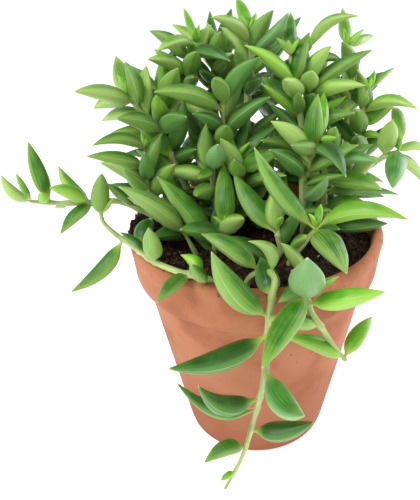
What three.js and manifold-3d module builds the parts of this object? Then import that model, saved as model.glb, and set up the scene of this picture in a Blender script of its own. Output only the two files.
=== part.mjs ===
// Potted string of bananas: a terracotta pot, its soil, and a trailing succulent with
// banana-shaped leaves. Millimetres, +Z up, standing on z = 0, with the origin at the
// bottom centre of the whole plant's box.
import * as THREE from "three";
import { mergeVertices } from "three/addons/utils/BufferGeometryUtils.js";
import Module from "manifold-3d";

const wasm = await Module();
wasm.setup();

// ---- Driving dimensions ----
const GAP = 0.3; // clearance between pieces that touch
const POT_HEIGHT = 100;
const POT_SIDES = 32;
const BASE_RADIUS = 32;
const RIM_RADIUS = 52.5; // widest point, near the top of the collar
const COLLAR_HEIGHT = 18;
const COLLAR_FOOT_RADIUS = 50.7;
const NECK_RADIUS = 47.4; // body just under the collar
const MOUTH_RADIUS = 48.2; // inside edge of the rim
const MOUTH_TAPER = 1.2; // how much narrower the mouth is at the collar's foot
const WALL = 4.5;
const FLOOR = 7;
const FLOOR_CORNER = 2; // bevel between the floor and the wall
const SHOULDER_DROP = 4; // inside, the wall steps in this far below the collar
const DRAIN_RADIUS = 6.5;
const EDGE = 1; // softened edges of the clay
const RIM_ROUND = 2; // inset of the rim's flat top from its widest point
const SOIL_EDGE = 93.5; // soil height at the wall
const SOIL_CROWN = 97; // soil height in the middle
const SOIL_HEAP = 0.6; // extra height half-way out
const SOIL_MARGIN = 2.5; // width of the soil's rounded edge
const ROOT_Z = 88; // how deep the stems are set
const STEM_RADIUS = 1.3;
const STEM_SIDES = 6;
const LEAF_SIDES = 5;
const FLOOR_CLEARANCE = 0.4; // trailing pieces above the table
const TABLE_SIZE = 300;
const TABLE_DEPTH = 20;

// Half-width of a leaf along its length, as a share of its widest half-width. It starts
// a little behind its base, inside the stem.
const LEAF_PROFILE = [[-0.05, 0], [0.36, 0.96], [0.68, 0.82], [1, 0]];

// How neighbouring leaves lean away from each other.
const SETTLE_ROUNDS = 60;
const SETTLE_SHARE = 0.35;
const SETTLE_PLACES = [0.15, 0.3, 0.45, 0.6, 0.75, 0.9];
const SETTLE_WIDTHS = [0.5, 0.9, 1, 0.9, 0.7, 0.35];
const SETTLE_YIELD = 0.8; // share of a push that a filling leaf takes from a named one
const SETTLE_STALK = 0.2; // nearer its base than this, a leaf may touch leaves of its own stem
const SETTLE_GAP = 0.6;
const RIM_BEAD_RADIUS = 2.2; // the rim as a ring of beads that leaves stay off
const RIM_BEADS = 72;

// ---- The plant's layout ----
// A stem is a route of [x, y, z] points from the pot's axis, root first.
// A leaf is [place on the route, compass, lift, length, width, bow]: place 1.5 is midway
// between points 1 and 2, compass turns from +X towards +Y, lift is above the horizontal,
// and bow is how far the leaf's middle arches up (or sags, if negative).
const STRANDS = [
  {
    name: "front_trail",
    route: [
      [-4, -38, 88], [-3, -41, 98], [2, -46, 105], [6, -54, 107], [5, -58, 101], [4, -59, 92],
      [4, -60, 82], [3, -60, 71], [1, -60, 58], [-2, -59, 42], [-6, -57, 24], [-13, -55, 4],
    ],
    leaves: [
      [1.8, 165, 30, 24, 9, 2], [2.6, 200, 60, 16, 6, 4], [3.9, 110, -20, 18, 8, 0],
      [4.7, 186, 55, 32, 11, -3], [5.4, 215, 5, 38, 9.5, -4], [6.8, 295, 5, 28, 9.5, -6],
      [7.9, 200, 30, 26, 9, -6], [8.3, 160, 5, 33, 6.5, -8], [9, 350, 20, 25, 9, -3],
      [9.6, 210, 5, 18, 7.5, 4], [10.4, 210, -15, 7, 3, 0],
    ],
  },
  {
    name: "right_trail",
    route: [
      [14, -34, 88], [16, -39, 98], [18, -47, 105], [17, -55, 103], [18, -58, 97], [22, -58, 90],
      [27, -57, 81], [32, -55, 73],
    ],
    leaves: [
      [1.4, 220, 55, 20, 6, 1], [2.4, 245, 5, 14, 6.5, 0], [2.9, 265, 55, 26, 12, -2],
      [3.1, 320, 40, 12, 3.5, 0], [3.2, 240, -15, 34, 9, 1], [3.7, 340, 28, 27, 8.5, 0],
      [5, 205, 30, 20, 7, 1], [6.9, 50, 25, 20, 6.5, 1], [7, 190, 30, 27, 7.5, 2],
    ],
  },
  {
    name: "left_runner",
    route: [
      [-34, -4, 88], [-38, -5, 102], [-48, -6, 110], [-56, -8, 114], [-65, -12, 115],
      [-76, -14, 116], [-86, -15, 117],
    ],
    leaves: [
      [2, 205, 50, 17, 5, 0], [3.8, 225, -20, 18, 6, 1], [3.9, 170, 50, 19, 6, -2],
      [4, 225, 35, 20, 7, 1], [4.7, 155, -25, 8, 3.5, 0], [5.3, 140, 70, 24, 6.5, -1],
      [5.5, 285, 60, 8, 4.5, 0], [6, 135, 45, 13, 3, 0], [6, 240, 55, 18, 5.5, -2],
    ],
  },
];

const SHOOTS = [
  {
    name: "shoot_rim_left",
    fill: 0,
    route: [
      [-12, -38, 88], [-15, -43, 98], [-21, -45, 102], [-29, -41, 102], [-37, -35, 102],
      [-44, -27, 102], [-50, -20, 102], [-55, -17, 104], [-59, -16, 108], [-60, -16, 112],
    ],
    leaves: [
      [1.4, 205, 60, 18, 6, -1], [1.8, 200, 50, 11, 6, 2], [2.4, 240, -5, 18, 6, 2],
      [4, 266, 75, 17, 7, 0], [4.4, 135, 20, 16, 3.5, 2], [5, 80, 20, 17, 7, 3],
      [6.4, 222, -30, 28, 7.5, -4], [8.6, 310, 75, 21, 7.5, 2],
    ],
  },
  {
    name: "shoot_rim_right",
    fill: 0,
    route: [[12, -24, 88], [13, -27, 98], [17, -31, 107], [21, -36, 116]],
    leaves: [
      [2.6, 140, -40, 14, 5, 1], [2.8, 290, -5, 26, 10, 2], [3, 330, 20, 34, 8, 5],
      [3, 155, 47, 36, 8.5, -3],
    ],
  },
  {
    name: "shoot_long_leaf",
    fill: 0,
    route: [[-22, -16, 88], [-24, -18, 96], [-27, -19, 104]],
    leaves: [[2, 210, 50, 36, 9.5, 2], [2, 135, 30, 30, 6, 1]],
  },
  {
    name: "shoot_front_left",
    fill: 2,
    route: [[-14, -14, 88], [-16, -18, 99], [-14, -20, 104], [-11, -21, 108]],
    leaves: [
      [0.9, 155, 55, 36, 10, 2], [1, 90, 60, 24, 7.5, 2], [1.6, 225, 40, 25, 9, 2],
      [1.6, 95, 20, 14, 5, 0], [2.8, 100, 45, 27, 8, 1],
    ],
  },
  {
    name: "shoot_front_middle",
    fill: 2,
    route: [[5, -20, 88], [9, -25, 101], [8, -27, 108], [8, -27, 112]],
    leaves: [[1, 300, 75, 22, 6.5, 1], [2.3, 125, 35, 30, 9, -2], [3, 95, 25, 28, 6, 1]],
  },
  {
    name: "shoot_left_low",
    route: [[-24, -4, 88], [-38, -4, 110], [-43, -4, 119], [-42, -3, 133]],
    leaves: [
      [1, 230, 45, 20, 6, 0], [1.9, 260, 55, 24, 5.5, -2], [2, 105, 15, 20, 5, 0],
      [2.2, 265, 50, 22, 6, -1], [2.5, 230, 25, 28, 7, 2], [3, 235, 20, 28, 6, 4],
    ],
  },
  {
    name: "shoot_right_front",
    route: [[20, -8, 88], [18, -8, 120], [20, -9, 127], [22, -10, 135], [23, -10, 140]],
    leaves: [
      [0.6, 305, 35, 16, 6, 1], [0.8, 300, 40, 24, 6.5, -2], [1, 315, 25, 22, 4, 1],
      [3, 285, 0, 24, 7, 5], [3.3, 250, 50, 16, 7.5, 0], [4, 270, 45, 8, 3.5, 0],
      [4, 80, 35, 24, 5.5, 0],
    ],
  },
  {
    name: "shoot_left_high",
    fill: 5,
    route: [[-20, 4, 88], [-33, 3, 126], [-39, 3, 140], [-45, 4, 147], [-49, 5, 152]],
    leaves: [
      [1.8, 245, 30, 27, 8, 2], [2.6, 150, -10, 26, 7, 2], [3.4, 225, 25, 27, 8, 2],
      [3.5, 140, 5, 18, 7, 2], [4, 115, 20, 24, 8, -1], [4, 230, 50, 7, 3, 0],
    ],
  },
  {
    name: "shoot_left_middle",
    route: [[-21, 14, 88], [-36, 12, 121], [-38, 12, 137], [-38, 12, 149]],
    leaves: [
      [1.2, 315, 60, 28, 8, -2], [2, 240, 50, 26, 7.5, 1], [2.5, 268, 35, 26, 8, 2],
      [2.8, 105, 15, 24, 6, 2], [3, 135, 20, 26, 6, 3], [3, 85, 30, 22, 6, 1],
    ],
  },
  {
    name: "shoot_left_back",
    route: [[-21, 27, 88], [-27, 28, 140], [-28, 29, 157], [-25, 30, 167]],
    leaves: [
      [1.4, 275, 40, 22, 6, 1], [1.7, 125, -10, 22, 6, 1], [1.8, 235, 15, 24, 7.5, 2],
      [2.6, 300, -5, 24, 7, 2], [2.9, 235, 0, 22, 6, 3], [3, 110, 40, 18, 3.5, 1],
    ],
  },
  {
    name: "shoot_back_left",
    route: [[-12, 30, 88], [-18, 33, 139], [-18, 34, 155], [-19, 35, 163]],
    leaves: [
      [1.5, 260, 35, 20, 5.5, 1], [1.8, 310, 55, 22, 6.5, 1], [2.5, 50, 30, 24, 6, 1],
      [3, 85, 45, 23, 6, -3], [3, 140, 30, 22, 6, 1],
    ],
  },
  {
    name: "shoot_back_middle",
    route: [[-2, 28, 88], [-4, 27, 140], [-2, 27, 160], [-3, 28, 171]],
    leaves: [
      [1.2, 280, 35, 24, 6, 1], [1.3, 65, 5, 22, 6, 1], [2.3, 325, 45, 26, 7, -2],
      [2.5, 225, 35, 24, 7, 3], [3, 105, 35, 20, 5.5, 1], [3, 60, 20, 14, 4, 0],
    ],
  },
  {
    name: "shoot_middle_left",
    route: [[-10, 12, 88], [-13, 9, 123], [-13, 8, 137], [-13, 8, 148]],
    leaves: [
      [1.8, 330, 45, 28, 8, 2], [1.9, 235, 35, 22, 6, 2], [2.7, 230, 40, 32, 9, 3],
      [3, 295, 50, 24, 8, 3], [3, 250, 45, 22, 7, 2],
    ],
  },
  {
    name: "shoot_middle_right",
    route: [[18, 18, 88], [21, 12, 121], [18, 12, 140], [16, 13, 152], [13, 14, 165]],
    leaves: [
      [1, 130, 20, 30, 9, 3], [0.9, 220, 45, 32, 9, 4], [2.1, 230, 55, 25, 4.5, 1],
      [2.2, 250, 45, 24, 5, 1], [3, 205, 45, 29, 6.5, 3], [4, 90, 45, 20, 5, 1],
      [4, 260, 45, 10, 3, 0],
    ],
  },
  {
    name: "shoot_right_back",
    route: [[21, 26, 88], [21, 20, 139], [20, 20, 153], [20, 20, 165]],
    leaves: [
      [1, 290, 45, 20, 5, 0], [1.3, 305, 45, 30, 7.5, 3], [1.5, 345, 40, 31, 7.5, 2],
      [1.6, 255, 40, 22, 7.5, 1], [2.6, 25, -5, 18, 5, 3], [3, 315, 35, 28, 5.5, 5],
    ],
  },
  {
    name: "shoot_right_high",
    fill: 5,
    route: [[28, 33, 88], [39, 33, 131], [41, 33, 147], [38, 34, 165]],
    leaves: [
      [1.2, 280, 30, 24, 8.5, 3], [1.3, 235, 40, 16, 4, 0], [1.6, 235, 35, 16, 4.5, 0],
      [3, 55, 10, 20, 5, 1], [3, 85, 35, 21, 5.5, 0],
    ],
  },
  {
    name: "shoot_right_edge_high",
    route: [[33, 22, 88], [44, 20, 121], [44, 20, 136], [45, 20, 150]],
    leaves: [
      [1, 260, 40, 26, 8, 2], [1.6, 285, 30, 14, 4, 1], [2.3, 310, 20, 27, 6.5, 5],
      [2.2, 90, 20, 18, 4, 1], [2.5, 290, 50, 10, 3, 1], [3, 50, 20, 20, 3, 1],
    ],
  },
  {
    name: "shoot_right_edge",
    fill: 2,
    route: [[36, 8, 88], [40, 6, 115], [50, 6, 126], [57, 5, 130]],
    leaves: [
      [1, 285, 40, 27, 7, 3], [2.6, 25, -35, 24, 6, 2], [2.8, 30, -20, 20, 5, 3],
      [3, 255, -10, 28, 8.5, 1], [3, 100, 30, 26, 6, 5],
    ],
  },
  {
    name: "shoot_right_middle",
    route: [[30, -2, 88], [27, -2, 116], [27, -2, 126], [29, -2, 133]],
    leaves: [
      [0.4, 340, 12, 26, 8.5, 0], [0.9, 355, 5, 30, 5, 2], [1, 20, 5, 28, 7, 1],
      [1.3, 310, 15, 30, 9, 2], [2, 310, 20, 27, 6.5, 3], [3, 60, 30, 10, 4, 0],
    ],
  },
  {
    name: "shoot_middle",
    route: [[-8, 0, 88], [-16, -2, 109], [-17, -3, 122], [-17, -3, 128]],
    leaves: [
      [1.5, 140, 10, 24, 7, 1], [1.8, 130, 35, 26, 7, 1], [2.5, 255, 0, 10, 5, 0],
      [2.6, 280, 50, 22, 8, 0],
    ],
  },
  {
    name: "shoot_middle_back",
    route: [[2, 6, 88], [-5, 2, 112], [-7, 0, 122], [-8, 0, 129]],
    leaves: [
      [1.4, 75, 20, 18, 5, 1], [1.5, 35, 30, 24, 7, 2], [1.6, 280, 5, 14, 6, 2],
      [2, 255, 60, 22, 7, 0], [2.6, 20, 50, 25, 6, 2], [3, 55, 45, 20, 5, 1],
    ],
  },
];

// Each shoot is filled out below its named leaves: more leaves set round the stem by the
// golden angle, from low on it upwards.
const GOLDEN_ANGLE = 137.5;
const FILL_LEAVES = 7;
const FILL_FROM = 0.3; // place of the lowest
const FILL_BELOW_TIP = 0.8; // places left free at the tip
const FILL_LIFTS = [42, 64]; // of the lowest and of the highest
const FILL_LENGTHS = [27, 20];
const FILL_WIDTH = 8;
const FILL_BOW = 2;
const FILL_TURN = 50; // compass step of the first filling leaf from shoot to shoot

function fillLeaves({ route, fill = FILL_LEAVES }, turn) {
  const top = route.length - 1 - FILL_BELOW_TIP;
  return Array.from({ length: fill }, (_, index) => {
    const share = index / Math.max(fill - 1, 1);
    const place = FILL_FROM + (top - FILL_FROM) * share;
    const lift = THREE.MathUtils.lerp(...FILL_LIFTS, share);
    const length = THREE.MathUtils.lerp(...FILL_LENGTHS, share);
    return [place, turn + GOLDEN_ANGLE * index, lift, length, FILL_WIDTH, FILL_BOW];
  });
}

// The far side of the plant is even: shoots of one habit, with leaves all the way up.
// Foot and lean are in plan, height is above the soil, turn is the first leaf's compass.
const BACK_SHOOTS = [
  { name: "shoot_far_left", foot: [-30, 26], lean: [-13, 12], height: 50, turn: 20 },
  { name: "shoot_far_middle_left", foot: [-13, 39], lean: [-4, 15], height: 62, turn: 75 },
  { name: "shoot_far_middle_right", foot: [7, 40], lean: [0, 15], height: 60, turn: 10 },
  { name: "shoot_far_right", foot: [28, 28], lean: [9, 16], height: 46, turn: 50 },
];
const BACK_LEAVES = 14;
const BACK_LOWEST = [0.5, 5, 30, 8, 3]; // place, lift, length, width and bow of the lowest leaf
const BACK_HIGHEST = [2, 58, 24, 7, 1]; // and of the highest

function backShoot({ name, foot, lean, height, turn }) {
  const route = [0, 0.5, 1].map((share) => [
    foot[0] + lean[0] * share * share,
    foot[1] + lean[1] * share * share,
    ROOT_Z + (SOIL_EDGE - ROOT_Z + height) * share,
  ]);
  const leaves = Array.from({ length: BACK_LEAVES }, (_, index) => {
    const share = index / (BACK_LEAVES - 1);
    const between = BACK_LOWEST.map((low, at) => THREE.MathUtils.lerp(low, BACK_HIGHEST[at], share));
    const [place, ...habit] = between;
    return [place, turn + GOLDEN_ANGLE * index, ...habit];
  });
  return { name, route, leaves };
}

// ---- Layout in space ----
const degrees = THREE.MathUtils.degToRad;

function stemCurve(route) {
  const points = route.map((point) => new THREE.Vector3(...point));
  return new THREE.CatmullRomCurve3(points, false, "catmullrom", 0.5);
}

function growLeaf(plant, curve, [place, compass, lift, length, width, bow], filling = false) {
  const base = curve.getPoint(place / (plant.route.length - 1));
  const heading = new THREE.Vector3(Math.cos(degrees(compass)), Math.sin(degrees(compass)), 0);
  const direction = heading.clone().multiplyScalar(Math.cos(degrees(lift)));
  direction.z = Math.sin(degrees(lift));
  const upper = heading.multiplyScalar(-Math.sin(degrees(lift)));
  upper.z = Math.cos(degrees(lift));
  return { plant: plant.name, base, direction, upper, length, width, bow, filling };
}

function leafPoint(leaf, share) {
  const arch = leaf.upper.clone().addScaledVector(leaf.direction, -leaf.upper.dot(leaf.direction));
  return leaf.base.clone()
    .addScaledVector(leaf.direction, leaf.length * share)
    .addScaledVector(arch.normalize(), 4 * leaf.bow * share * (1 - share));
}

// Beads that leaves keep clear of: along every stem, and round the pot's rim.
function fixedBeads(plants) {
  const beads = [];
  for (const plant of plants) {
    const count = 4 * (plant.route.length - 1);
    for (let index = 0; index <= count; index += 1) {
      beads.push({ plant: plant.name, point: plant.curve.getPoint(index / count), radius: STEM_RADIUS });
    }
  }
  const ringRadius = (RIM_RADIUS + MOUTH_RADIUS) / 2;
  for (let index = 0; index < RIM_BEADS; index += 1) {
    const angle = (2 * Math.PI * index) / RIM_BEADS;
    const point = new THREE.Vector3(Math.cos(angle), Math.sin(angle), 0).multiplyScalar(ringRadius);
    point.z = POT_HEIGHT - RIM_BEAD_RADIUS;
    beads.push({ plant: "pot", point, radius: RIM_BEAD_RADIUS });
  }
  return beads;
}

function leafBeads(leaf) {
  return SETTLE_PLACES.map((share, index) => ({
    share,
    point: leafPoint(leaf, share),
    radius: (leaf.width / 2) * SETTLE_WIDTHS[index],
  }));
}

// How far a bead has to move to be clear of another, or null when it is clear.
function overlap(bead, other) {
  const apart = bead.point.clone().sub(other.point);
  const distance = apart.length();
  const wanted = bead.radius + other.radius + SETTLE_GAP;
  return distance < wanted ? apart.multiplyScalar((wanted - distance) / distance) : null;
}

// The share of a push between two leaves that the first takes.
function shareOfPush(leaf, other) {
  if (leaf.filling === other.filling) return 0.5;
  return leaf.filling ? SETTLE_YIELD : 1 - SETTLE_YIELD;
}

// Leaves turn about their bases until they stop crossing each other, the stems and the rim.
function settle(leaves, beads) {
  for (let round = 0; round < SETTLE_ROUNDS; round += 1) {
    const own = leaves.map(leafBeads);
    const turns = leaves.map(() => new THREE.Vector3());
    for (let first = 0; first < leaves.length; first += 1) {
      for (const bead of own[first]) {
        for (let second = first + 1; second < leaves.length; second += 1) {
          for (const other of own[second]) {
            const stalks = Math.min(bead.share, other.share) < SETTLE_STALK;
            const siblings = leaves[first].plant === leaves[second].plant;
            const push = stalks && siblings ? null : overlap(bead, other);
            if (push) {
              const taken = shareOfPush(leaves[first], leaves[second]);
              turns[first].addScaledVector(push, taken * bead.share);
              turns[second].addScaledVector(push, (taken - 1) * other.share);
            }
          }
        }
        for (const fixed of beads) {
          const push = fixed.plant === leaves[first].plant ? null : overlap(bead, fixed);
          if (push) turns[first].addScaledVector(push, bead.share);
        }
      }
    }
    leaves.forEach((leaf, index) => {
      const tip = leaf.direction.clone().multiplyScalar(leaf.length);
      leaf.direction.copy(tip.addScaledVector(turns[index], SETTLE_SHARE).normalize());
    });
  }
}

// ---- Solids ----
function solidOf(geometry, tolerance = 1e-4) {
  const bare = geometry.clone();
  bare.deleteAttribute("normal");
  bare.deleteAttribute("uv");
  const merged = mergeVertices(bare, tolerance);
  return new wasm.Manifold(new wasm.Mesh({
    numProp: 3,
    vertProperties: new Float32Array(merged.attributes.position.array),
    triVerts: new Uint32Array(merged.index.array),
  }));
}

function geometryOf(solid) {
  const mesh = solid.getMesh();
  const geometry = new THREE.BufferGeometry();
  geometry.setAttribute("position", new THREE.BufferAttribute(new Float32Array(mesh.vertProperties), 3));
  geometry.setIndex(new THREE.BufferAttribute(new Uint32Array(mesh.triVerts), 1));
  geometry.computeVertexNormals();
  return geometry;
}

// A turned solid standing on +Z, from [radius, height] points.
function turned(points, sides) {
  const profile = points.map(([radius, height]) => new THREE.Vector2(radius, height));
  return solidOf(new THREE.LatheGeometry(profile, sides).rotateX(Math.PI / 2));
}

// A leaf's solid: a turned spindle laid along the leaf's arched midline.
function leafSolid(leaf, grow = 0) {
  const profile = LEAF_PROFILE.map(([share, width]) => new THREE.Vector2(
    width ? (leaf.width / 2) * width + grow : 0,
    share * leaf.length + (share === 1 ? grow : 0),
  ));
  const geometry = new THREE.LatheGeometry(profile, LEAF_SIDES);
  const side = leaf.upper.clone().cross(leaf.direction).normalize();
  const top = leaf.direction.clone().cross(side);
  const position = geometry.attributes.position;
  for (let index = 0; index < position.count; index += 1) {
    const place = leafPoint(leaf, position.getY(index) / leaf.length)
      .addScaledVector(side, position.getZ(index))
      .addScaledVector(top, position.getX(index));
    position.setXYZ(index, place.x, place.y, place.z);
  }
  return solidOf(geometry);
}

function stemSolid(plant, grow = 0) {
  const corners = Array.from({ length: STEM_SIDES }, (_, index) => {
    const angle = (2 * Math.PI * index) / STEM_SIDES;
    return new THREE.Vector2(Math.cos(angle), Math.sin(angle)).multiplyScalar(STEM_RADIUS + grow);
  });
  return solidOf(new THREE.ExtrudeGeometry(new THREE.Shape(corners), {
    steps: 2 * (plant.route.length - 1),
    extrudePath: plant.curve,
    bevelEnabled: false,
  }));
}

// Slivers are closed up first, so that nothing hangs on by a thread.
function biggestBody(solid) {
  const bodies = solidOf(geometryOf(solid), 0.01).decompose();
  return bodies.reduce((best, body) => (body.volume() > best.volume() ? body : best));
}

// The pot in section: up the outside, over the rim, down the inside to the drain hole.
const COLLAR_FOOT = POT_HEIGHT - COLLAR_HEIGHT;
const SHOULDER = COLLAR_FOOT - SHOULDER_DROP;
const POT_PROFILE = [
  [DRAIN_RADIUS, 0],
  [BASE_RADIUS - EDGE, 0],
  [BASE_RADIUS, EDGE],
  [NECK_RADIUS, COLLAR_FOOT],
  [COLLAR_FOOT_RADIUS - EDGE, COLLAR_FOOT],
  [COLLAR_FOOT_RADIUS, COLLAR_FOOT + EDGE],
  [RIM_RADIUS, POT_HEIGHT - RIM_ROUND - EDGE],
  [RIM_RADIUS - EDGE, POT_HEIGHT - EDGE],
  [RIM_RADIUS - RIM_ROUND, POT_HEIGHT],
  [MOUTH_RADIUS + EDGE, POT_HEIGHT],
  [MOUTH_RADIUS, POT_HEIGHT - EDGE],
  [MOUTH_RADIUS - MOUTH_TAPER, COLLAR_FOOT],
  [NECK_RADIUS - WALL, SHOULDER],
  [BASE_RADIUS - WALL + FLOOR_CORNER / 2, FLOOR + FLOOR_CORNER],
  [BASE_RADIUS - WALL - FLOOR_CORNER / 2, FLOOR],
  [DRAIN_RADIUS, FLOOR],
  [DRAIN_RADIUS, 0],
];

// The inside of the pot up to the soil's surface, a gap away from the walls.
const SOIL_PROFILE = [
  [0, FLOOR + GAP],
  [BASE_RADIUS - WALL - FLOOR_CORNER / 2 - GAP, FLOOR + GAP],
  [BASE_RADIUS - WALL + FLOOR_CORNER / 2 - GAP, FLOOR + FLOOR_CORNER + GAP],
  [NECK_RADIUS - WALL - GAP, SHOULDER],
  [MOUTH_RADIUS - MOUTH_TAPER - GAP, COLLAR_FOOT],
  [MOUTH_RADIUS - MOUTH_TAPER / 2 - GAP, SOIL_EDGE - EDGE],
  [MOUTH_RADIUS - SOIL_MARGIN, SOIL_EDGE],
  [MOUTH_RADIUS / 2, (SOIL_EDGE + SOIL_CROWN) / 2 + SOIL_HEAP],
  [0, SOIL_CROWN],
];

// ---- Assembly ----
const shoots = [
  ...SHOOTS.map((shoot, index) => ({
    ...shoot,
    leaves: [...shoot.leaves, ...fillLeaves(shoot, FILL_TURN * index)],
    named: shoot.leaves.length,
  })),
  ...BACK_SHOOTS.map(backShoot),
];
const plants = [...STRANDS, ...shoots];
for (const plant of plants) {
  plant.curve = stemCurve(plant.route);
  plant.grown = plant.leaves.map((row, index) => (
    growLeaf(plant, plant.curve, row, index >= plant.named)
  ));
}
settle(plants.flatMap((plant) => plant.grown), fixedBeads(plants));

const group = new THREE.Group();
const terracotta = new THREE.MeshStandardMaterial({ color: 0xbe7a58, roughness: 0.85, metalness: 0 });
const pottingSoil = new THREE.MeshStandardMaterial({ color: 0x2a1c14, roughness: 1, metalness: 0 });
const greens = [0x54813f, 0x6c9c45, 0x7db23e, 0x4b7a35];
const stemGreen = 0x9aab62;
const LEAF_ROUGHNESS = 0.35;
const STEM_ROUGHNESS = 0.55;

function addMesh(name, solid, material) {
  const mesh = new THREE.Mesh(geometryOf(solid), material);
  mesh.name = name;
  group.add(mesh);
}

function plantMaterial(color, roughness) {
  return new THREE.MeshStandardMaterial({ color, roughness, metalness: 0 });
}

const pot = turned(POT_PROFILE, POT_SIDES);
addMesh("pot", pot, terracotta);

// What every leaf and stem above the soil stays out of: the pot's outside and the ground.
const potKeepOut = turned([
  [0, 0],
  [BASE_RADIUS + GAP, 0],
  [NECK_RADIUS + GAP, COLLAR_FOOT - EDGE],
  [COLLAR_FOOT_RADIUS + GAP, COLLAR_FOOT - EDGE],
  [RIM_RADIUS + GAP, POT_HEIGHT - RIM_ROUND - EDGE],
  [RIM_RADIUS - RIM_ROUND, POT_HEIGHT + GAP],
  [MOUTH_RADIUS, POT_HEIGHT + GAP],
  [MOUTH_RADIUS - MOUTH_TAPER - GAP, COLLAR_FOOT],
  [0, COLLAR_FOOT],
], POT_SIDES);
const soilBody = turned(SOIL_PROFILE, POT_SIDES);
const soilKeepOut = soilBody.translate([0, 0, GAP]);
const tableTop = new THREE.BoxGeometry(TABLE_SIZE, TABLE_SIZE, TABLE_DEPTH);
const tableKeepOut = solidOf(tableTop.translate(0, 0, FLOOR_CLEARANCE - TABLE_DEPTH / 2));

// Every piece is cut back a gap from the pieces made before it.
const made = [];
function clearOfOthers(solid) {
  let clear = solid;
  for (const reach of made) {
    if (clear.intersect(reach).volume() > 0) clear = clear.subtract(reach);
  }
  return biggestBody(clear);
}

let sockets = soilBody;
function stemOf(plant) {
  const reach = stemSolid(plant, GAP);
  sockets = sockets.subtract(reach);
  return { solid: stemSolid(plant).subtract(potKeepOut).subtract(tableKeepOut), reach };
}

function trimmed(leaf) {
  return leafSolid(leaf).subtract(potKeepOut).subtract(soilKeepOut).subtract(tableKeepOut);
}

const stems = new Map(plants.map((plant) => [plant.name, stemOf(plant)]));

for (const plant of STRANDS) {
  const { solid, reach } = stems.get(plant.name);
  addMesh(`${plant.name}_stem`, clearOfOthers(solid), plantMaterial(stemGreen, STEM_ROUGHNESS));
  made.push(reach);
}

for (const plant of shoots) {
  const { solid, reach } = stems.get(plant.name);
  const whole = plant.grown.reduce((body, leaf) => body.add(trimmed(leaf)), solid);
  const shade = greens[made.length % greens.length];
  addMesh(plant.name, clearOfOthers(whole), plantMaterial(shade, LEAF_ROUGHNESS));
  made.push(plant.grown.reduce((body, leaf) => body.add(leafSolid(leaf, GAP)), reach));
}

for (const plant of STRANDS) {
  plant.grown.forEach((leaf, index) => {
    const material = plantMaterial(greens[index % greens.length], LEAF_ROUGHNESS);
    addMesh(`${plant.name}_leaf_${index + 1}`, clearOfOthers(trimmed(leaf)), material);
    made.push(leafSolid(leaf, GAP));
  });
}

addMesh("soil", biggestBody(sockets), pottingSoil);

// The origin is the bottom centre of the whole plant's box.
const box = new THREE.Box3().setFromObject(group);
group.position.set(-(box.min.x + box.max.x) / 2, -(box.min.y + box.max.y) / 2, 0);

export default group;
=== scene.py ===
"""The looks of a potted string of bananas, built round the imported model.

The plant is a trailing succulent: plump, pointed leaves on short stalks along thin stems. It
stands in dark potting soil in a pot of unglazed terracotta. Every piece is in metres in the
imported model's frame. The plant's layout is in millimetres from the pot's axis.
"""

import logging
import math
from dataclasses import dataclass, field
from enum import Enum
from functools import partial
from typing import Any

import bpy
import numpy as np
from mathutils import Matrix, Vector, noise


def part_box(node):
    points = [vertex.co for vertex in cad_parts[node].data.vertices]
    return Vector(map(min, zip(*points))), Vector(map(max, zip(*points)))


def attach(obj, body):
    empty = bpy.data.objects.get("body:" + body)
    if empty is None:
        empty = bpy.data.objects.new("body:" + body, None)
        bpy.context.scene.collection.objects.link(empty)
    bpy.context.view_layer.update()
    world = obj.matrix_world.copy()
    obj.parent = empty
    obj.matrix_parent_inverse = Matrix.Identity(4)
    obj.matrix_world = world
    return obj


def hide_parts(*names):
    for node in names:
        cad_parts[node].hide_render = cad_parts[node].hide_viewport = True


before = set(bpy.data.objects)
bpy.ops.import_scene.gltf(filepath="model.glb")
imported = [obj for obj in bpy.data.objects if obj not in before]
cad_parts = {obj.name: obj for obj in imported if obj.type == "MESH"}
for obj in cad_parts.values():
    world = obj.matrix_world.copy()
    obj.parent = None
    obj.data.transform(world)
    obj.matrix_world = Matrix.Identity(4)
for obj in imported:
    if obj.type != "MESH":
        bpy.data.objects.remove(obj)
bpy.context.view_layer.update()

LOG = logging.getLogger("string_of_bananas")
MM = 0.001
BODY = "root"


# ---- Colours, nodes and meshes ----
def colour(code: str) -> tuple[float, float, float, float]:
    """Turns an sRGB hex colour to linear.

    Args:
        code: The colour as "#rrggbb".

    Returns:
        Red, green, blue and alpha, linear.
    """
    parts = [int(code[at : at + 2], 16) / 255 for at in (1, 3, 5)]
    linear = [part / 12.92 if part <= 0.04045 else ((part + 0.055) / 1.055) ** 2.4 for part in parts]
    return (*linear, 1.0)


def add_node(
    tree: bpy.types.NodeTree, kind: str, feeds: dict[Any, Any] | None = None, **settings: Any
) -> bpy.types.Node:
    """Adds a node with its settings, its values and the links into it.

    Args:
        tree: The tree that gets the node.
        kind: The node's type name.
        feeds: For each input, by name or number, a value, an output, or a node that feeds it
            from its first output.
        settings: The node's own properties.

    Returns:
        The new node.
    """
    node = tree.nodes.new(kind)
    for name, value in settings.items():
        setattr(node, name, value)
    for name, value in (feeds or {}).items():
        if isinstance(value, bpy.types.Node):
            tree.links.new(value.outputs[0], node.inputs[name])
        elif isinstance(value, bpy.types.NodeSocket):
            tree.links.new(value, node.inputs[name])
        else:
            node.inputs[name].default_value = value
    return node


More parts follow.
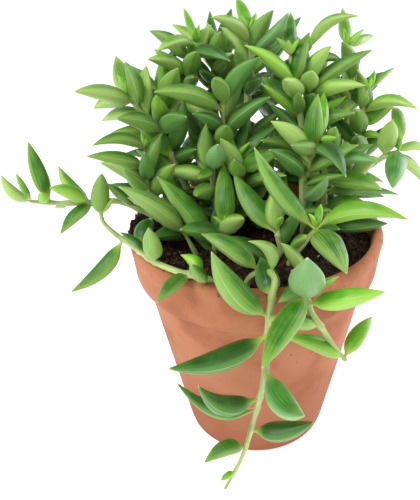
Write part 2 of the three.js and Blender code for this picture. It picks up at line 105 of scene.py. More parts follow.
def new_surface(name: str, **sockets: Any) -> tuple[bpy.types.Material, bpy.types.Node, partial]:
    """Starts a material.

    Args:
        name: The finish's name.
        sockets: Values for the shader's sockets, with _ for a space in the socket's name.

    Returns:
        The material, its shader node, and add_node bound to its tree.
    """
    material = bpy.data.materials.new(name)
    material.use_nodes = True
    material.node_tree.nodes.clear()
    add = partial(add_node, material.node_tree)
    shader = add(
        "ShaderNodeBsdfPrincipled", {key.replace("_", " "): value for key, value in sockets.items()}
    )
    add("ShaderNodeOutputMaterial", {"Surface": shader})
    return material, shader, add


def paint(shader: bpy.types.Node, base: Any, layers: list | tuple, relief: tuple) -> None:
    """Lays colours over each other on a shader and gives it a relief.

    Args:
        shader: The shader node.
        base: The colour under all layers, or the output that gives it.
        layers: For each layer, the node or output that gives its amount, and its sRGB code.
        relief: The height's node, its strength, and its depth in millimetres.
    """
    add = partial(add_node, shader.id_data)
    for amount, code in layers:
        feeds = {0: amount, 6: base, 7: colour(code)}
        base = add("ShaderNodeMix", feeds, data_type="RGBA").outputs[2]
    height, strength, depth = relief
    bump = add("ShaderNodeBump", {"Height": height, "Strength": strength, "Distance": depth * MM})
    shader.id_data.links.new(base, shader.inputs["Base Color"])
    shader.id_data.links.new(bump.outputs[0], shader.inputs["Normal"])


def new_object(name: str, mesh: bpy.types.Mesh) -> bpy.types.Object:
    """Puts a mesh in the scene as an object at the origin and returns it."""
    piece = bpy.data.objects.new(name, mesh)
    bpy.context.scene.collection.objects.link(piece)
    return piece


def new_mesh(name: str, points: np.ndarray, edges: list = (), faces: list = ()) -> bpy.types.Mesh:
    """Makes a mesh from points in metres.

    Args:
        name: The mesh's name.
        points: One row for each vertex.
        edges: Pairs of vertex numbers.
        faces: Rings of vertex numbers.

    Returns:
        The mesh.
    """
    mesh = bpy.data.meshes.new(name)
    mesh.from_pydata(np.asarray(points).tolist(), edges, faces)
    mesh.update()
    return mesh


def set_attribute(mesh: bpy.types.Mesh, name: str, kind: str, values: np.ndarray) -> None:
    """Writes one value for each vertex to a named attribute.

    Args:
        mesh: The mesh that gets it.
        name: The attribute's name.
        kind: Its data type.
        values: One row for each vertex.
    """
    attribute = mesh.attributes.new(name, kind, "POINT")
    key = {"FLOAT": "value", "FLOAT_VECTOR": "vector", "FLOAT_COLOR": "color"}[kind]
    attribute.data.foreach_set(key, np.asarray(values, np.float32).ravel())


def new_tree(name: str, inputs: dict[str, str]) -> tuple[bpy.types.NodeTree, bpy.types.Node, partial]:
    """Starts a geometry node tree that takes and gives a geometry.

    Args:
        name: The tree's name.
        inputs: The socket type of each further input.

    Returns:
        The tree, its input node, and add_node bound to the tree.
    """
    tree = bpy.data.node_groups.new(name, "GeometryNodeTree")
    tree.interface.new_socket("Geometry", in_out="INPUT", socket_type="NodeSocketGeometry")
    for label, kind in inputs.items():
        tree.interface.new_socket(label, in_out="INPUT", socket_type=f"NodeSocket{kind}")
    tree.interface.new_socket("Geometry", in_out="OUTPUT", socket_type="NodeSocketGeometry")
    return tree, add_node(tree, "NodeGroupInput"), partial(add_node, tree)


def grow(piece: bpy.types.Object, tree: bpy.types.NodeTree, **values: Any) -> bpy.types.Object:
    """Runs a geometry node tree on a piece and keeps the result as its plain mesh.

    Args:
        piece: The object with the tree's input as its mesh.
        tree: The tree.
        values: The tree's named inputs, with _ for a space in a name.

    Returns:
        The piece.
    """
    modifier = piece.modifiers.new(tree.name, "NODES")
    modifier.node_group = tree
    sockets = {s.name: s.identifier for s in tree.interface.items_tree if s.in_out == "INPUT"}
    for name, value in values.items():
        modifier[sockets[name.replace("_", " ")]] = value
    graph = bpy.context.evaluated_depsgraph_get()
    grown = bpy.data.meshes.new_from_object(
        piece.evaluated_get(graph), preserve_all_data_layers=True, depsgraph=graph
    )
    grown.name = piece.name
    piece.modifiers.remove(modifier)
    piece.data = grown
    return piece


def hand_over(piece: bpy.types.Object, slot: str, *nodes: str) -> None:
    """Ties a finished piece to the frame and reports it.

    Args:
        piece: The piece.
        slot: The name of a material slot; it is not used.
        nodes: The CAD nodes that it stands for.
    """
    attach(piece, BODY)
    if nodes:
        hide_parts(*nodes)
    LOG.info("%s: %d faces, stands for %s", piece.name, len(piece.data.polygons), ", ".join(nodes) or "-")


# ---- Finishes ----
@dataclass(frozen=True)
class LeafTone:
    """How one sort of leaf is coloured: its bloom-dusted skin, the clear green of its window,
    how strongly it is ribbed and how much waxy bloom lies on it."""

    skin: str
    window: str
    ribbing: float
    bloom: float


class Tone(Enum):
    """The sorts of leaf on the plant."""

    FRESH = LeafTone("#97c848", "#57a208", 0.36, 0.10)
    GREEN = LeafTone("#7ca63c", "#246a00", 0.55, 0.28)
    DEEP = LeafTone("#4f862a", "#154a00", 0.50, 0.28)
    PALE = LeafTone("#a8c962", "#529010", 0.52, 0.30)
    BLOOMED = LeafTone("#6fa254", "#276e12", 0.55, 0.55)
    RIBBED = LeafTone("#8db24c", "#2a6a00", 1.00, 0.28)


@dataclass(frozen=True)
class LeafSkin:
    """Succulent leaf skin: a smooth, waxy cuticle, grown, not made. It is satin, lets a little
    light through, has fine ribs along it, a pale rim light painted along each side edge, a
    yellow-green stalk and a dry, straw-coloured point."""

    # Pale colour painted along each side edge of the leaf as rim light.
    painted_rim_light: str = "#bcd68c"
    stalk: str = "#b9cf62"
    point: str = "#dcd59a"
    wax: str = "#a8cc98"
    roughness: float = 0.30
    rib_count: float = 14.0  # ribs across half the leaf
    mottle_mm: float = 5.0

    def material(self) -> bpy.types.Material:
        """Builds the material, which reads the leaf's own attributes."""
        material, shader, add = new_surface(
            "succulent_leaf_skin", Roughness=self.roughness, IOR=1.42, Specular_IOR_Level=0.44,
            Subsurface_Weight=0.12, Subsurface_Radius=(0.7, 1.0, 0.15), Subsurface_Scale=1.0 * MM,
            Sheen_Weight=0.12, Sheen_Roughness=0.35, Sheen_Tint=colour("#d4f0a4")
        )
        place = add("ShaderNodeAttribute", attribute_name="leaf_place").outputs["Vector"]
        traits = add("ShaderNodeAttribute", attribute_name="leaf_traits").outputs["Vector"]
        skin = add("ShaderNodeAttribute", attribute_name="leaf_skin").outputs["Color"]
        window = add("ShaderNodeAttribute", attribute_name="leaf_window").outputs["Color"]
        across = add("ShaderNodeSeparateXYZ", {0: place}).outputs
        trait = add("ShaderNodeSeparateXYZ", {0: traits}).outputs

        # Ribs: noise drawn out along the leaf and different on each leaf.
        stretch = add(
            "ShaderNodeVectorMath", {0: place, 1: (self.rib_count, self.rib_count, 1.1), 2: traits},
            operation="MULTIPLY_ADD"
        )
        offset = add(
            "ShaderNodeVectorMath", {0: traits, 1: (0, 0, 31.0), 2: stretch}, operation="MULTIPLY_ADD"
        )
        ribs = add("ShaderNodeTexNoise", {"Vector": offset, "Scale": 1.0, "Detail": 3.0})
        ribs = add("ShaderNodeMapRange", {0: ribs, 1: 0.35, 2: 0.65, 3: -0.5, 4: 0.5})
        rib_strength = add("ShaderNodeMath", {0: ribs, 1: trait[0]}, operation="MULTIPLY")

        # The window: a clear band along the middle of the upper side.
        band = add("ShaderNodeMapRange", {0: across[1], 1: 0.3, 2: 0.9}, interpolation_type="SMOOTHSTEP")
        start = add(
            "ShaderNodeMapRange", {0: across[2], 1: 0.08, 2: 0.3}, interpolation_type="SMOOTHSTEP"
        )
        end = add("ShaderNodeMapRange", {0: across[2], 1: 0.98, 2: 0.7}, interpolation_type="SMOOTHSTEP")
        middle = add("ShaderNodeMath", {0: start, 1: end}, operation="MULTIPLY")
        band = add("ShaderNodeMath", {0: band, 1: middle}, operation="MULTIPLY")
        object_place = add("ShaderNodeTexCoord").outputs["Object"]
        mottle = add(
            "ShaderNodeTexNoise",
            {"Vector": object_place, "Scale": 1 / (self.mottle_mm * MM), "Detail": 2.0}
        )
        mottle = add("ShaderNodeMapRange", {0: mottle, 1: 0.3, 2: 0.65, 3: 0.6, 4: 1.0})
        clear = add("ShaderNodeMath", {0: band, 1: mottle}, operation="MULTIPLY")
        clear = add(
            "ShaderNodeMath", {0: rib_strength, 1: 1.1, 2: clear}, operation="MULTIPLY_ADD",
            use_clamp=True
        )
        base = add("ShaderNodeMix", {0: clear, 6: skin, 7: window}, data_type="RGBA").outputs[2]

        # Waxy bloom on the upper flanks, broken up by the mottling.
        dust = add("ShaderNodeMapRange", {0: across[1], 1: 0.9, 2: 0.2, 3: 0.1, 4: 0.5})
        dust = add("ShaderNodeMath", {0: dust, 1: trait[1]}, operation="MULTIPLY")
        dust = add("ShaderNodeMath", {0: dust, 1: mottle}, operation="MULTIPLY")

        # The painted rim light along each side edge, the stalk and the dry point.
        edge = add("ShaderNodeMath", {0: across[1]}, operation="ABSOLUTE")
        layers = [(dust, self.wax)]
        for source, start, stop, most, code in (
            (edge, 0.10, 0.01, 0.5, self.painted_rim_light), (across[2], 0.24, 0.04, 0.9, self.stalk),
            (across[2], 0.965, 1.0, 0.8, self.point)
        ):
            feeds = {0: source, 1: start, 2: stop, 3: 0.0, 4: most}
            layers.append((add("ShaderNodeMapRange", feeds, interpolation_type="SMOOTHSTEP"), code))
        paint(shader, base, layers, relief=(rib_strength, 0.35, 0.25))
        return material


@dataclass(frozen=True)
class StemSkin:
    """Young succulent stem: a green skin with a satin wax, drawn in fine paler, yellower lines
    along it, with darker blotches."""

    green: str = "#a3b968"
    pale: str = "#cdd79a"
    shade: str = "#7f9a4a"

    def material(self) -> bpy.types.Material:
        """Builds the material, which reads the stem's own attribute."""
        material, shader, add = new_surface(
            "succulent_stem_skin", Roughness=0.42, IOR=1.42, Subsurface_Weight=0.12,
            Subsurface_Radius=(0.8, 1.0, 0.3), Subsurface_Scale=0.8 * MM
        )
        place = add("ShaderNodeAttribute", attribute_name="stem_place").outputs["Vector"]
        lines = add("ShaderNodeVectorMath", {0: place, 1: (3.0, 3.0, 160.0)}, operation="MULTIPLY")
        lines = add("ShaderNodeTexNoise", {"Vector": lines, "Scale": 1.0, "Detail": 2.0})
        lines = add("ShaderNodeMapRange", {0: lines, 1: 0.35, 2: 0.68})
        blotch = add("ShaderNodeVectorMath", {0: place, 1: (0.4, 0.4, 90.0)}, operation="MULTIPLY")
        blotch = add("ShaderNodeTexNoise", {"Vector": blotch, "Scale": 1.0, "Detail": 1.0})
        blotch = add("ShaderNodeMapRange", {0: blotch, 1: 0.45, 2: 0.75})
        layers = ((lines, self.pale), (blotch, self.shade))
        paint(shader, colour(self.green), layers, relief=(lines, 0.3, 0.2))
        return material


@dataclass(frozen=True)
class Terracotta:
    """Terracotta: red earthenware, thrown smooth, fired and left unglazed. It is matte and
    dusty, blotched by moisture and lime, with dark grog specks, pale scuffs, and soil wiped
    on it under the rim."""

    clay: str = "#b26e48"
    dry: str = "#bf815e"
    damp: str = "#955532"
    # Colour of the damp blotches; it also paints the shade towards the pot's foot.
    speck: str = "#6a3a25"
    scuff: str = "#dfb496"
    soil: str = "#4a2c1c"
    blotch_mm: float = 26.0
    grain_mm: float = 0.5
    speck_mm: float = 2.6
    rim_z: float = 0.1

    def material(self) -> bpy.types.Material:
        """Builds the material on object coordinates."""
        material, shader, add = new_surface("unglazed_terracotta", Roughness=0.82, IOR=1.5)
        place = add("ShaderNodeTexCoord").outputs["Object"]
        height = add("ShaderNodeSeparateXYZ", {0: place}).outputs[2]

        blotches = add(
            "ShaderNodeTexNoise",
            {"Vector": place, "Scale": 1 / (self.blotch_mm * MM), "Detail": 4.0, "Roughness": 0.55}
        )
        dry = add("ShaderNodeMapRange", {0: blotches, 1: 0.42, 2: 0.72})
        damp = add("ShaderNodeMapRange", {0: blotches, 1: 0.5, 2: 0.25})
        # Painted shade: the clay darkens towards its foot, up to 60 mm high, in the damp colour.
        painted_shade_low = add("ShaderNodeMapRange", {0: height, 1: 60 * MM, 2: 0.0, 3: 0.0, 4: 0.9})

        specks = add(
            "ShaderNodeTexVoronoi",
            {"Vector": place, "Scale": 1 / (self.speck_mm * MM), "Randomness": 1.0}
        )
        size = add("ShaderNodeSeparateColor", {0: specks.outputs["Color"]}).outputs[0]
        size = add("ShaderNodeMapRange", {0: size, 1: 0.72, 2: 1.0, 3: 0.0, 4: 0.17})
        speck = add("ShaderNodeMath", {0: size, 1: specks.outputs[0]}, operation="SUBTRACT")
        speck = add("ShaderNodeMapRange", {0: speck, 1: -0.03, 2: 0.05, 3: 0.0, 4: 0.8})

        # Scuffs: short pale strokes, drawn out round the pot.
        strokes = add("ShaderNodeMapping", {0: place, 2: (0, 0.5, 0), 3: (60, 60, 620)})
        strokes = add("ShaderNodeTexNoise", {"Vector": strokes, "Scale": 1.0, "Detail": 1.0})
        strokes = add("ShaderNodeMapRange", {0: strokes, 1: 0.72, 2: 0.78, 3: 0.0, 4: 0.35})

        # Soil on and under the rim.
        smear = add(
            "ShaderNodeTexNoise", {"Vector": place, "Scale": 230.0, "Detail": 5.0, "Roughness": 0.7}
        )
        near_rim = add(
            "ShaderNodeMapRange", {0: height, 1: self.rim_z - 16 * MM, 2: self.rim_z, 3: 0.0, 4: 0.13}
        )
        smear = add("ShaderNodeMath", {0: smear, 1: near_rim}, operation="ADD")
        smear = add("ShaderNodeMapRange", {0: smear, 1: 0.73, 2: 0.80, 3: 0.0, 4: 0.8})
        layers = (
            (dry, self.dry), (damp, self.damp), (painted_shade_low, self.damp), (speck, self.speck),
            (strokes, self.scuff), (smear, self.soil)
        )
        grain = add(
            "ShaderNodeTexNoise",
            {"Vector": place, "Scale": 1 / (self.grain_mm * MM), "Detail": 3.0, "Roughness": 0.6}
        )
        grain = add("ShaderNodeMath", {0: blotches, 1: 0.3, 2: grain}, operation="MULTIPLY_ADD")
        paint(shader, colour(self.clay), layers, relief=(grain, 0.4, 0.12))
        return material


@dataclass(frozen=True)
class PottingSoil:
    """Potting soil: peat and composted bark, damp, crumbled and heaped by hand. It is almost
    black, dead matte, with browner fibres and dry red-brown crumbs."""

    peat: str = "#1c120c"
    bark: str = "#6b402b"
    fibre: str = "#7a5138"
    crumb_mm: float = 1.6

    def material(self) -> bpy.types.Material:
        """Builds the material on object coordinates."""
        material, shader, add = new_surface("potting_soil", Roughness=0.95, IOR=1.4)
        place = add("ShaderNodeTexCoord").outputs["Object"]
        crumbs = add(
            "ShaderNodeTexNoise", {"Vector": place, "Scale": 1 / (self.crumb_mm * MM), "Detail": 4.0}
        )
        bark = add("ShaderNodeMapRange", {0: crumbs, 1: 0.5, 2: 0.72})
        fibres = add("ShaderNodeMapping", {0: place, 3: (900, 240, 700)})
        fibres = add("ShaderNodeTexNoise", {"Vector": fibres, "Scale": 1.0, "Detail": 2.0})
        fibres = add("ShaderNodeMapRange", {0: fibres, 1: 0.66, 2: 0.74, 3: 0.0, 4: 0.6})
        layers = ((bark, self.bark), (fibres, self.fibre))
        paint(shader, colour(self.peat), layers, relief=(crumbs, 0.9, 0.6))
        return material


@dataclass(frozen=True)
class Perlite:
    """Perlite: volcanic glass popped to white, foamy grains. They are matte and off-white."""

    white: str = "#e9e4da"
    shade: str = "#b3a795"

    def material(self) -> bpy.types.Material:
        """Builds the material on object coordinates."""
        material, shader, add = new_surface("perlite", Roughness=0.9, IOR=1.5)
        place = add("ShaderNodeTexCoord").outputs["Object"]
        pits = add("ShaderNodeTexNoise", {"Vector": place, "Scale": 1400.0, "Detail": 2.0})
        shade = add("ShaderNodeMapRange", {0: pits, 1: 0.45, 2: 0.75})
        paint(shader, colour(self.white), ((shade, self.shade),), relief=(pits, 0.6, 0.2))
        return material


# ---- The plant's layout ----
FRESH, GREEN, DEEP, PALE, BLOOMED, RIBBED = Tone


@dataclass
class Plant:
    """One stem with its leaves.

    The route's points are in millimetres from the pot's axis, root first. A leaf is (place on
    the route, compass, lift, length, width, bow, tone): place 1.5 is midway between points 1
    and 2, compass turns from +X towards +Y, lift is above the horizontal, and bow is how far
    the leaf's middle arches up. fill is the number of filling leaves below them.
    """

    name: str
    route: tuple[tuple[float, float, float], ...]
    leaves: tuple[tuple, ...]
    fill: int = 7


STRANDS = (
    Plant(
        "front_trail",
        route=(
            (-4, -38, 88), (-3, -41, 98), (2, -46, 105), (6, -54, 107), (5, -58, 101), (4, -59, 92),
            (4, -60, 82), (3, -60, 71), (1, -60, 58), (-2, -59, 42), (-6, -57, 24), (-13, -55, 4)
        ),
        leaves=(
            (1.8, 165, 30, 24, 9, 2, GREEN), (2.6, 200, 60, 16, 6, 4, PALE),
            (3.9, 110, -20, 18, 8, 0, DEEP), (4.7, 186, 55, 32, 11, -3, GREEN),
            (5.4, 215, 5, 38, 9.5, -4, DEEP), (6.8, 295, 5, 28, 9.5, -6, BLOOMED),
            (7.9, 200, 30, 26, 9, -6, DEEP), (8.3, 160, 5, 33, 6.5, -8, DEEP),
            (9, 350, 20, 25, 9, -3, DEEP), (9.6, 210, 5, 18, 7.5, 4, GREEN),
            (10.4, 210, -15, 7, 3, 0, FRESH)
        )
    ),
    Plant(
        "right_trail",
        route=(
            (14, -34, 88), (16, -39, 98), (18, -47, 105), (17, -55, 103), (18, -58, 97), (22, -58, 90),
            (27, -57, 81), (32, -55, 73)
        ),
        leaves=(
            (1.4, 220, 55, 20, 6, 1, PALE), (2.4, 245, 5, 14, 6.5, 0, GREEN),
            (2.9, 265, 55, 26, 12, -2, BLOOMED), (3.1, 320, 40, 12, 3.5, 0, FRESH),
            (3.2, 240, -15, 34, 9, 1, GREEN), (3.7, 340, 28, 27, 8.5, 0, FRESH),
            (5, 205, 30, 20, 7, 1, PALE), (6.9, 50, 25, 20, 6.5, 1, FRESH),
            (7, 190, 30, 27, 7.5, 2, FRESH)
        )
    ),
    Plant(
        "left_runner",
        route=(
            (-34, -4, 88), (-38, -5, 102), (-48, -6, 110), (-56, -8, 114), (-65, -12, 115),
            (-76, -14, 116), (-86, -15, 117)
        ),
        leaves=(
            (2, 205, 50, 17, 5, 0, GREEN), (3.8, 225, -20, 18, 6, 1, GREEN),
            (3.9, 170, 50, 19, 6, -2, PALE), (4, 225, 35, 20, 7, 1, FRESH),
            (4.7, 155, -25, 8, 3.5, 0, PALE), (5.3, 140, 70, 24, 6.5, -1, GREEN),
            (5.5, 285, 60, 8, 4.5, 0, FRESH), (6, 135, 45, 13, 3, 0, PALE),
            (6, 240, 55, 18, 5.5, -2, PALE)
        )
    )
)
SHOOTS = (
    Plant(
        "shoot_rim_left",
        route=(
            (-12, -38, 88), (-15, -43, 98), (-21, -45, 102), (-29, -41, 102), (-37, -35, 102),
            (-44, -27, 102), (-50, -20, 102), (-55, -17, 104), (-59, -16, 108), (-60, -16, 112)
        ),
        leaves=(
            (1.4, 205, 60, 18, 6, -1, GREEN), (1.8, 200, 50, 11, 6, 2, FRESH),
            (2.4, 240, -5, 18, 6, 2, GREEN), (4, 266, 75, 17, 7, 0, RIBBED),
            (4.4, 135, 20, 16, 3.5, 2, DEEP), (5, 80, 20, 17, 7, 3, DEEP),
            (6.4, 222, -30, 28, 7.5, -4, GREEN), (8.6, 310, 75, 21, 7.5, 2, GREEN)
        ),
        fill=0
    ),
    Plant(
        "shoot_rim_right", route=((12, -24, 88), (13, -27, 98), (17, -31, 107), (21, -36, 116)),
        leaves=(
            (2.6, 140, -40, 14, 5, 1, GREEN), (2.8, 290, -5, 26, 10, 2, RIBBED),
            (3, 330, 20, 34, 8, 5, FRESH), (3, 155, 47, 36, 8.5, -3, GREEN)
        ),
        fill=0
    ),
    Plant(
        "shoot_long_leaf", route=((-22, -16, 88), (-24, -18, 96), (-27, -19, 104)),
        leaves=((2, 210, 50, 36, 9.5, 2, RIBBED), (2, 135, 30, 30, 6, 1, DEEP)), fill=0
    ),
    Plant(
        "shoot_front_left", route=((-14, -14, 88), (-16, -18, 99), (-14, -20, 104), (-11, -21, 108)),
        leaves=(
            (0.9, 155, 55, 36, 10, 2, GREEN), (1, 90, 60, 24, 7.5, 2, GREEN),
            (1.6, 225, 40, 25, 9, 2, DEEP), (1.6, 95, 20, 14, 5, 0, FRESH),
            (2.8, 100, 45, 27, 8, 1, GREEN)
        ),
        fill=2
    ),
    Plant(
        "shoot_front_middle", route=((5, -20, 88), (9, -25, 101), (8, -27, 108), (8, -27, 112)),
        leaves=(
            (1, 300, 75, 22, 6.5, 1, DEEP), (2.3, 125, 35, 30, 9, -2, GREEN), (3, 95, 25, 28, 6, 1, GREEN)
        ),
        fill=2
    ),
    Plant(
        "shoot_left_low", route=((-24, -4, 88), (-38, -4, 110), (-43, -4, 119), (-42, -3, 133)),
        leaves=(
            (1, 230, 45, 20, 6, 0, PALE), (1.9, 260, 55, 24, 5.5, -2, GREEN),
            (2, 105, 15, 20, 5, 0, GREEN), (2.2, 265, 50, 22, 6, -1, DEEP),
            (2.5, 230, 25, 28, 7, 2, GREEN), (3, 235, 20, 28, 6, 4, GREEN)
        )
    ),
    Plant(
        "shoot_right_front",
        route=((20, -8, 88), (18, -8, 120), (20, -9, 127), (22, -10, 135), (23, -10, 140)),
        leaves=(
            (0.6, 305, 35, 16, 6, 1, GREEN), (0.8, 300, 40, 24, 6.5, -2, BLOOMED),
            (1, 315, 25, 22, 4, 1, GREEN), (3, 285, 0, 24, 7, 5, DEEP), (3.3, 250, 50, 16, 7.5, 0, GREEN),
            (4, 270, 45, 8, 3.5, 0, FRESH), (4, 80, 35, 24, 5.5, 0, FRESH)
        )
    ),
    Plant(
        "shoot_left_high",
        route=((-20, 4, 88), (-33, 3, 126), (-39, 3, 140), (-45, 4, 147), (-49, 5, 152)),
        leaves=(
            (1.8, 245, 30, 27, 8, 2, GREEN), (2.6, 150, -10, 26, 7, 2, PALE),
            (3.4, 225, 25, 27, 8, 2, PALE), (3.5, 140, 5, 18, 7, 2, PALE), (4, 115, 20, 24, 8, -1, PALE),
            (4, 230, 50, 7, 3, 0, FRESH)
        ),
        fill=5
    ),
    Plant(
        "shoot_left_middle", route=((-21, 14, 88), (-36, 12, 121), (-38, 12, 137), (-38, 12, 149)),
        leaves=(
            (1.2, 315, 60, 28, 8, -2, DEEP), (2, 240, 50, 26, 7.5, 1, FRESH),
            (2.5, 268, 35, 26, 8, 2, GREEN), (2.8, 105, 15, 24, 6, 2, FRESH),
            (3, 135, 20, 26, 6, 3, PALE), (3, 85, 30, 22, 6, 1, PALE)
        )
    ),
    Plant(
        "shoot_left_back", route=((-21, 27, 88), (-27, 28, 140), (-28, 29, 157), (-25, 30, 167)),
        leaves=(
            (1.4, 275, 40, 22, 6, 1, GREEN), (1.7, 125, -10, 22, 6, 1, PALE),
            (1.8, 235, 15, 24, 7.5, 2, PALE), (2.6, 300, -5, 24, 7, 2, DEEP),
            (2.9, 235, 0, 22, 6, 3, PALE), (3, 110, 40, 18, 3.5, 1, FRESH)
        )
    ),
    Plant(
        "shoot_back_left", route=((-12, 30, 88), (-18, 33, 139), (-18, 34, 155), (-19, 35, 163)),
        leaves=(
            (1.5, 260, 35, 20, 5.5, 1, DEEP), (1.8, 310, 55, 22, 6.5, 1, PALE),
            (2.5, 50, 30, 24, 6, 1, GREEN), (3, 85, 45, 23, 6, -3, DEEP), (3, 140, 30, 22, 6, 1, PALE)
        )
    ),
    Plant(
        "shoot_back_middle", route=((-2, 28, 88), (-4, 27, 140), (-2, 27, 160), (-3, 28, 171)),
        leaves=(
            (1.2, 280, 35, 24, 6, 1, DEEP), (1.3, 65, 5, 22, 6, 1, DEEP),
            (2.3, 325, 45, 26, 7, -2, BLOOMED), (2.5, 225, 35, 24, 7, 3, PALE),
            (3, 105, 35, 20, 5.5, 1, FRESH), (3, 60, 20, 14, 4, 0, PALE)
        )
    ),
    Plant(
        "shoot_middle_left", route=((-10, 12, 88), (-13, 9, 123), (-13, 8, 137), (-13, 8, 148)),
        leaves=(
            (1.8, 330, 45, 28, 8, 2, DEEP), (1.9, 235, 35, 22, 6, 2, DEEP),
            (2.7, 230, 40, 32, 9, 3, GREEN), (3, 295, 50, 24, 8, 3, DEEP), (3, 250, 45, 22, 7, 2, GREEN)
        )
    ),
    Plant(
        "shoot_middle_right",
        route=((18, 18, 88), (21, 12, 121), (18, 12, 140), (16, 13, 152), (13, 14, 165)),
        leaves=(
            (1, 130, 20, 30, 9, 3, DEEP), (0.9, 220, 45, 32, 9, 4, GREEN),
            (2.1, 230, 55, 25, 4.5, 1, FRESH), (2.2, 250, 45, 24, 5, 1, GREEN),
            (3, 205, 45, 29, 6.5, 3, FRESH), (4, 90, 45, 20, 5, 1, GREEN), (4, 260, 45, 10, 3, 0, PALE)
        )
    ),
    Plant(
        "shoot_right_back", route=((21, 26, 88), (21, 20, 139), (20, 20, 153), (20, 20, 165)),
        leaves=(
            (1, 290, 45, 20, 5, 0, FRESH), (1.3, 305, 45, 30, 7.5, 3, PALE),
            (1.5, 345, 40, 31, 7.5, 2, GREEN), (1.6, 255, 40, 22, 7.5, 1, PALE),
            (2.6, 25, -5, 18, 5, 3, GREEN), (3, 315, 35, 28, 5.5, 5, PALE)
        )
    ),
    Plant(
        "shoot_right_high", route=((28, 33, 88), (39, 33, 131), (41, 33, 147), (38, 34, 165)),
        leaves=(
            (1.2, 280, 30, 24, 8.5, 3, PALE), (1.3, 235, 40, 16, 4, 0, GREEN),
            (1.6, 235, 35, 16, 4.5, 0, PALE), (3, 55, 10, 20, 5, 1, PALE), (3, 85, 35, 21, 5.5, 0, PALE)
        ),
        fill=5
    ),
    Plant(
        "shoot_right_edge_high", route=((33, 22, 88), (44, 20, 121), (44, 20, 136), (45, 20, 150)),
        leaves=(
            (1, 260, 40, 26, 8, 2, GREEN), (1.6, 285, 30, 14, 4, 1, FRESH),
            (2.3, 310, 20, 27, 6.5, 5, PALE), (2.2, 90, 20, 18, 4, 1, GREEN),
            (2.5, 290, 50, 10, 3, 1, PALE), (3, 50, 20, 20, 3, 1, PALE)
        )
    ),
    Plant(
        "shoot_right_edge", route=((36, 8, 88), (40, 6, 115), (50, 6, 126), (57, 5, 130)),
        leaves=(
            (1, 285, 40, 27, 7, 3, PALE), (2.6, 25, -35, 24, 6, 2, PALE), (2.8, 30, -20, 20, 5, 3, PALE),
            (3, 255, -10, 28, 8.5, 1, BLOOMED), (3, 100, 30, 26, 6, 5, PALE)
        ),
        fill=2
    ),
    Plant(
        "shoot_right_middle", route=((30, -2, 88), (27, -2, 116), (27, -2, 126), (29, -2, 133)),
        leaves=(
            (0.4, 340, 12, 26, 8.5, 0, DEEP), (0.9, 355, 5, 30, 5, 2, BLOOMED),
            (1, 20, 5, 28, 7, 1, DEEP), (1.3, 310, 15, 30, 9, 2, GREEN),
            (2, 310, 20, 27, 6.5, 3, BLOOMED), (3, 60, 30, 10, 4, 0, DEEP)
        )
    ),
    Plant(
        "shoot_middle", route=((-8, 0, 88), (-16, -2, 109), (-17, -3, 122), (-17, -3, 128)),
        leaves=(
            (1.5, 140, 10, 24, 7, 1, DEEP), (1.8, 130, 35, 26, 7, 1, GREEN),
            (2.5, 255, 0, 10, 5, 0, GREEN), (2.6, 280, 50, 22, 8, 0, BLOOMED)
        )
    ),
    Plant(
        "shoot_middle_back", route=((2, 6, 88), (-5, 2, 112), (-7, 0, 122), (-8, 0, 129)),
        leaves=(
            (1.4, 75, 20, 18, 5, 1, DEEP), (1.5, 35, 30, 24, 7, 2, GREEN), (1.6, 280, 5, 14, 6, 2, DEEP),
            (2, 255, 60, 22, 7, 0, GREEN), (2.6, 20, 50, 25, 6, 2, DEEP), (3, 55, 45, 20, 5, 1, DEEP)
        )
    )
)


@dataclass(frozen=True)
class FillHabit:
    """The filling leaves of a shoot, set round its stem by the golden angle from low on it up."""

    golden_angle: float = 137.5
    first_place: float = 0.3
    free_tip: float = 0.8
    turn: float = 50.0  # compass step of the first leaf from shoot to shoot
    lifts: tuple[float, float] = (42, 64)  # of the lowest and of the highest
    lengths: tuple[float, float] = (27, 20)
    size: tuple[float, float] = (8, 2)  # width, bow

    def rows(self, plant: Plant, number: int) -> list[tuple]:
        """Lays out a shoot's filling leaves.

        Args:
            plant: The shoot.
            number: Its number, which turns the first leaf.

        Returns:
            The leaf rows.
        """
        span = len(plant.route) - 1 - self.free_tip - self.first_place
        rows = []
        for at in range(plant.fill):
            share = at / max(plant.fill - 1, 1)
            compass = self.turn * number + self.golden_angle * at
            lift = self.lifts[0] + (self.lifts[1] - self.lifts[0]) * share
            length = self.lengths[0] + (self.lengths[1] - self.lengths[0]) * share
            tone = ((DEEP, GREEN), (GREEN, PALE))[share > 0.5][at % 2]
            rows.append((self.first_place + span * share, compass, lift, length, *self.size, tone))
        return rows


@dataclass(frozen=True)
class BackShoot:
    """A shoot on the plant's far side, where all have one habit.

    foot and lean are in plan, height is above the soil, and turn is the first leaf's compass.
    """

    name: str
    foot: tuple[float, float]
    lean: tuple[float, float]
    height: float
    turn: float
    leaves: int = 14
    root_z: float = 88.0
    soil_z: float = 93.5
    lowest: tuple[float, ...] = (0.5, 5, 30, 8, 3)  # place, lift, length, width, bow
    highest: tuple[float, ...] = (2, 58, 24, 7, 1)

    def plant(self) -> Plant:
        """Returns the shoot as a plant."""
        rise = self.soil_z - self.root_z + self.height
        route = tuple(
            (
                self.foot[0] + self.lean[0] * share * share, self.foot[1] + self.lean[1] * share * share,
                self.root_z + rise * share
            ) for share in (0, 0.5, 1)
        )
        rows = []
        for at in range(self.leaves):
            share = at / (self.leaves - 1)
            place, *habit = (low + (high - low) * share for low, high in zip(self.lowest, self.highest))
            compass = self.turn + FillHabit.golden_angle * at
            rows.append((place, compass, *habit, (GREEN, DEEP, PALE)[at % 3]))
        return Plant(self.name, route, tuple(rows), fill=0)


BACK_SHOOTS = (
    BackShoot("shoot_far_left", foot=(-30, 26), lean=(-13, 12), height=50, turn=20),
    BackShoot("shoot_far_middle_left", foot=(-13, 39), lean=(-4, 15), height=62, turn=75),
    BackShoot("shoot_far_middle_right", foot=(7, 40), lean=(0, 15), height=60, turn=10),
    BackShoot("shoot_far_right", foot=(28, 28), lean=(9, 16), height=46, turn=50)
)


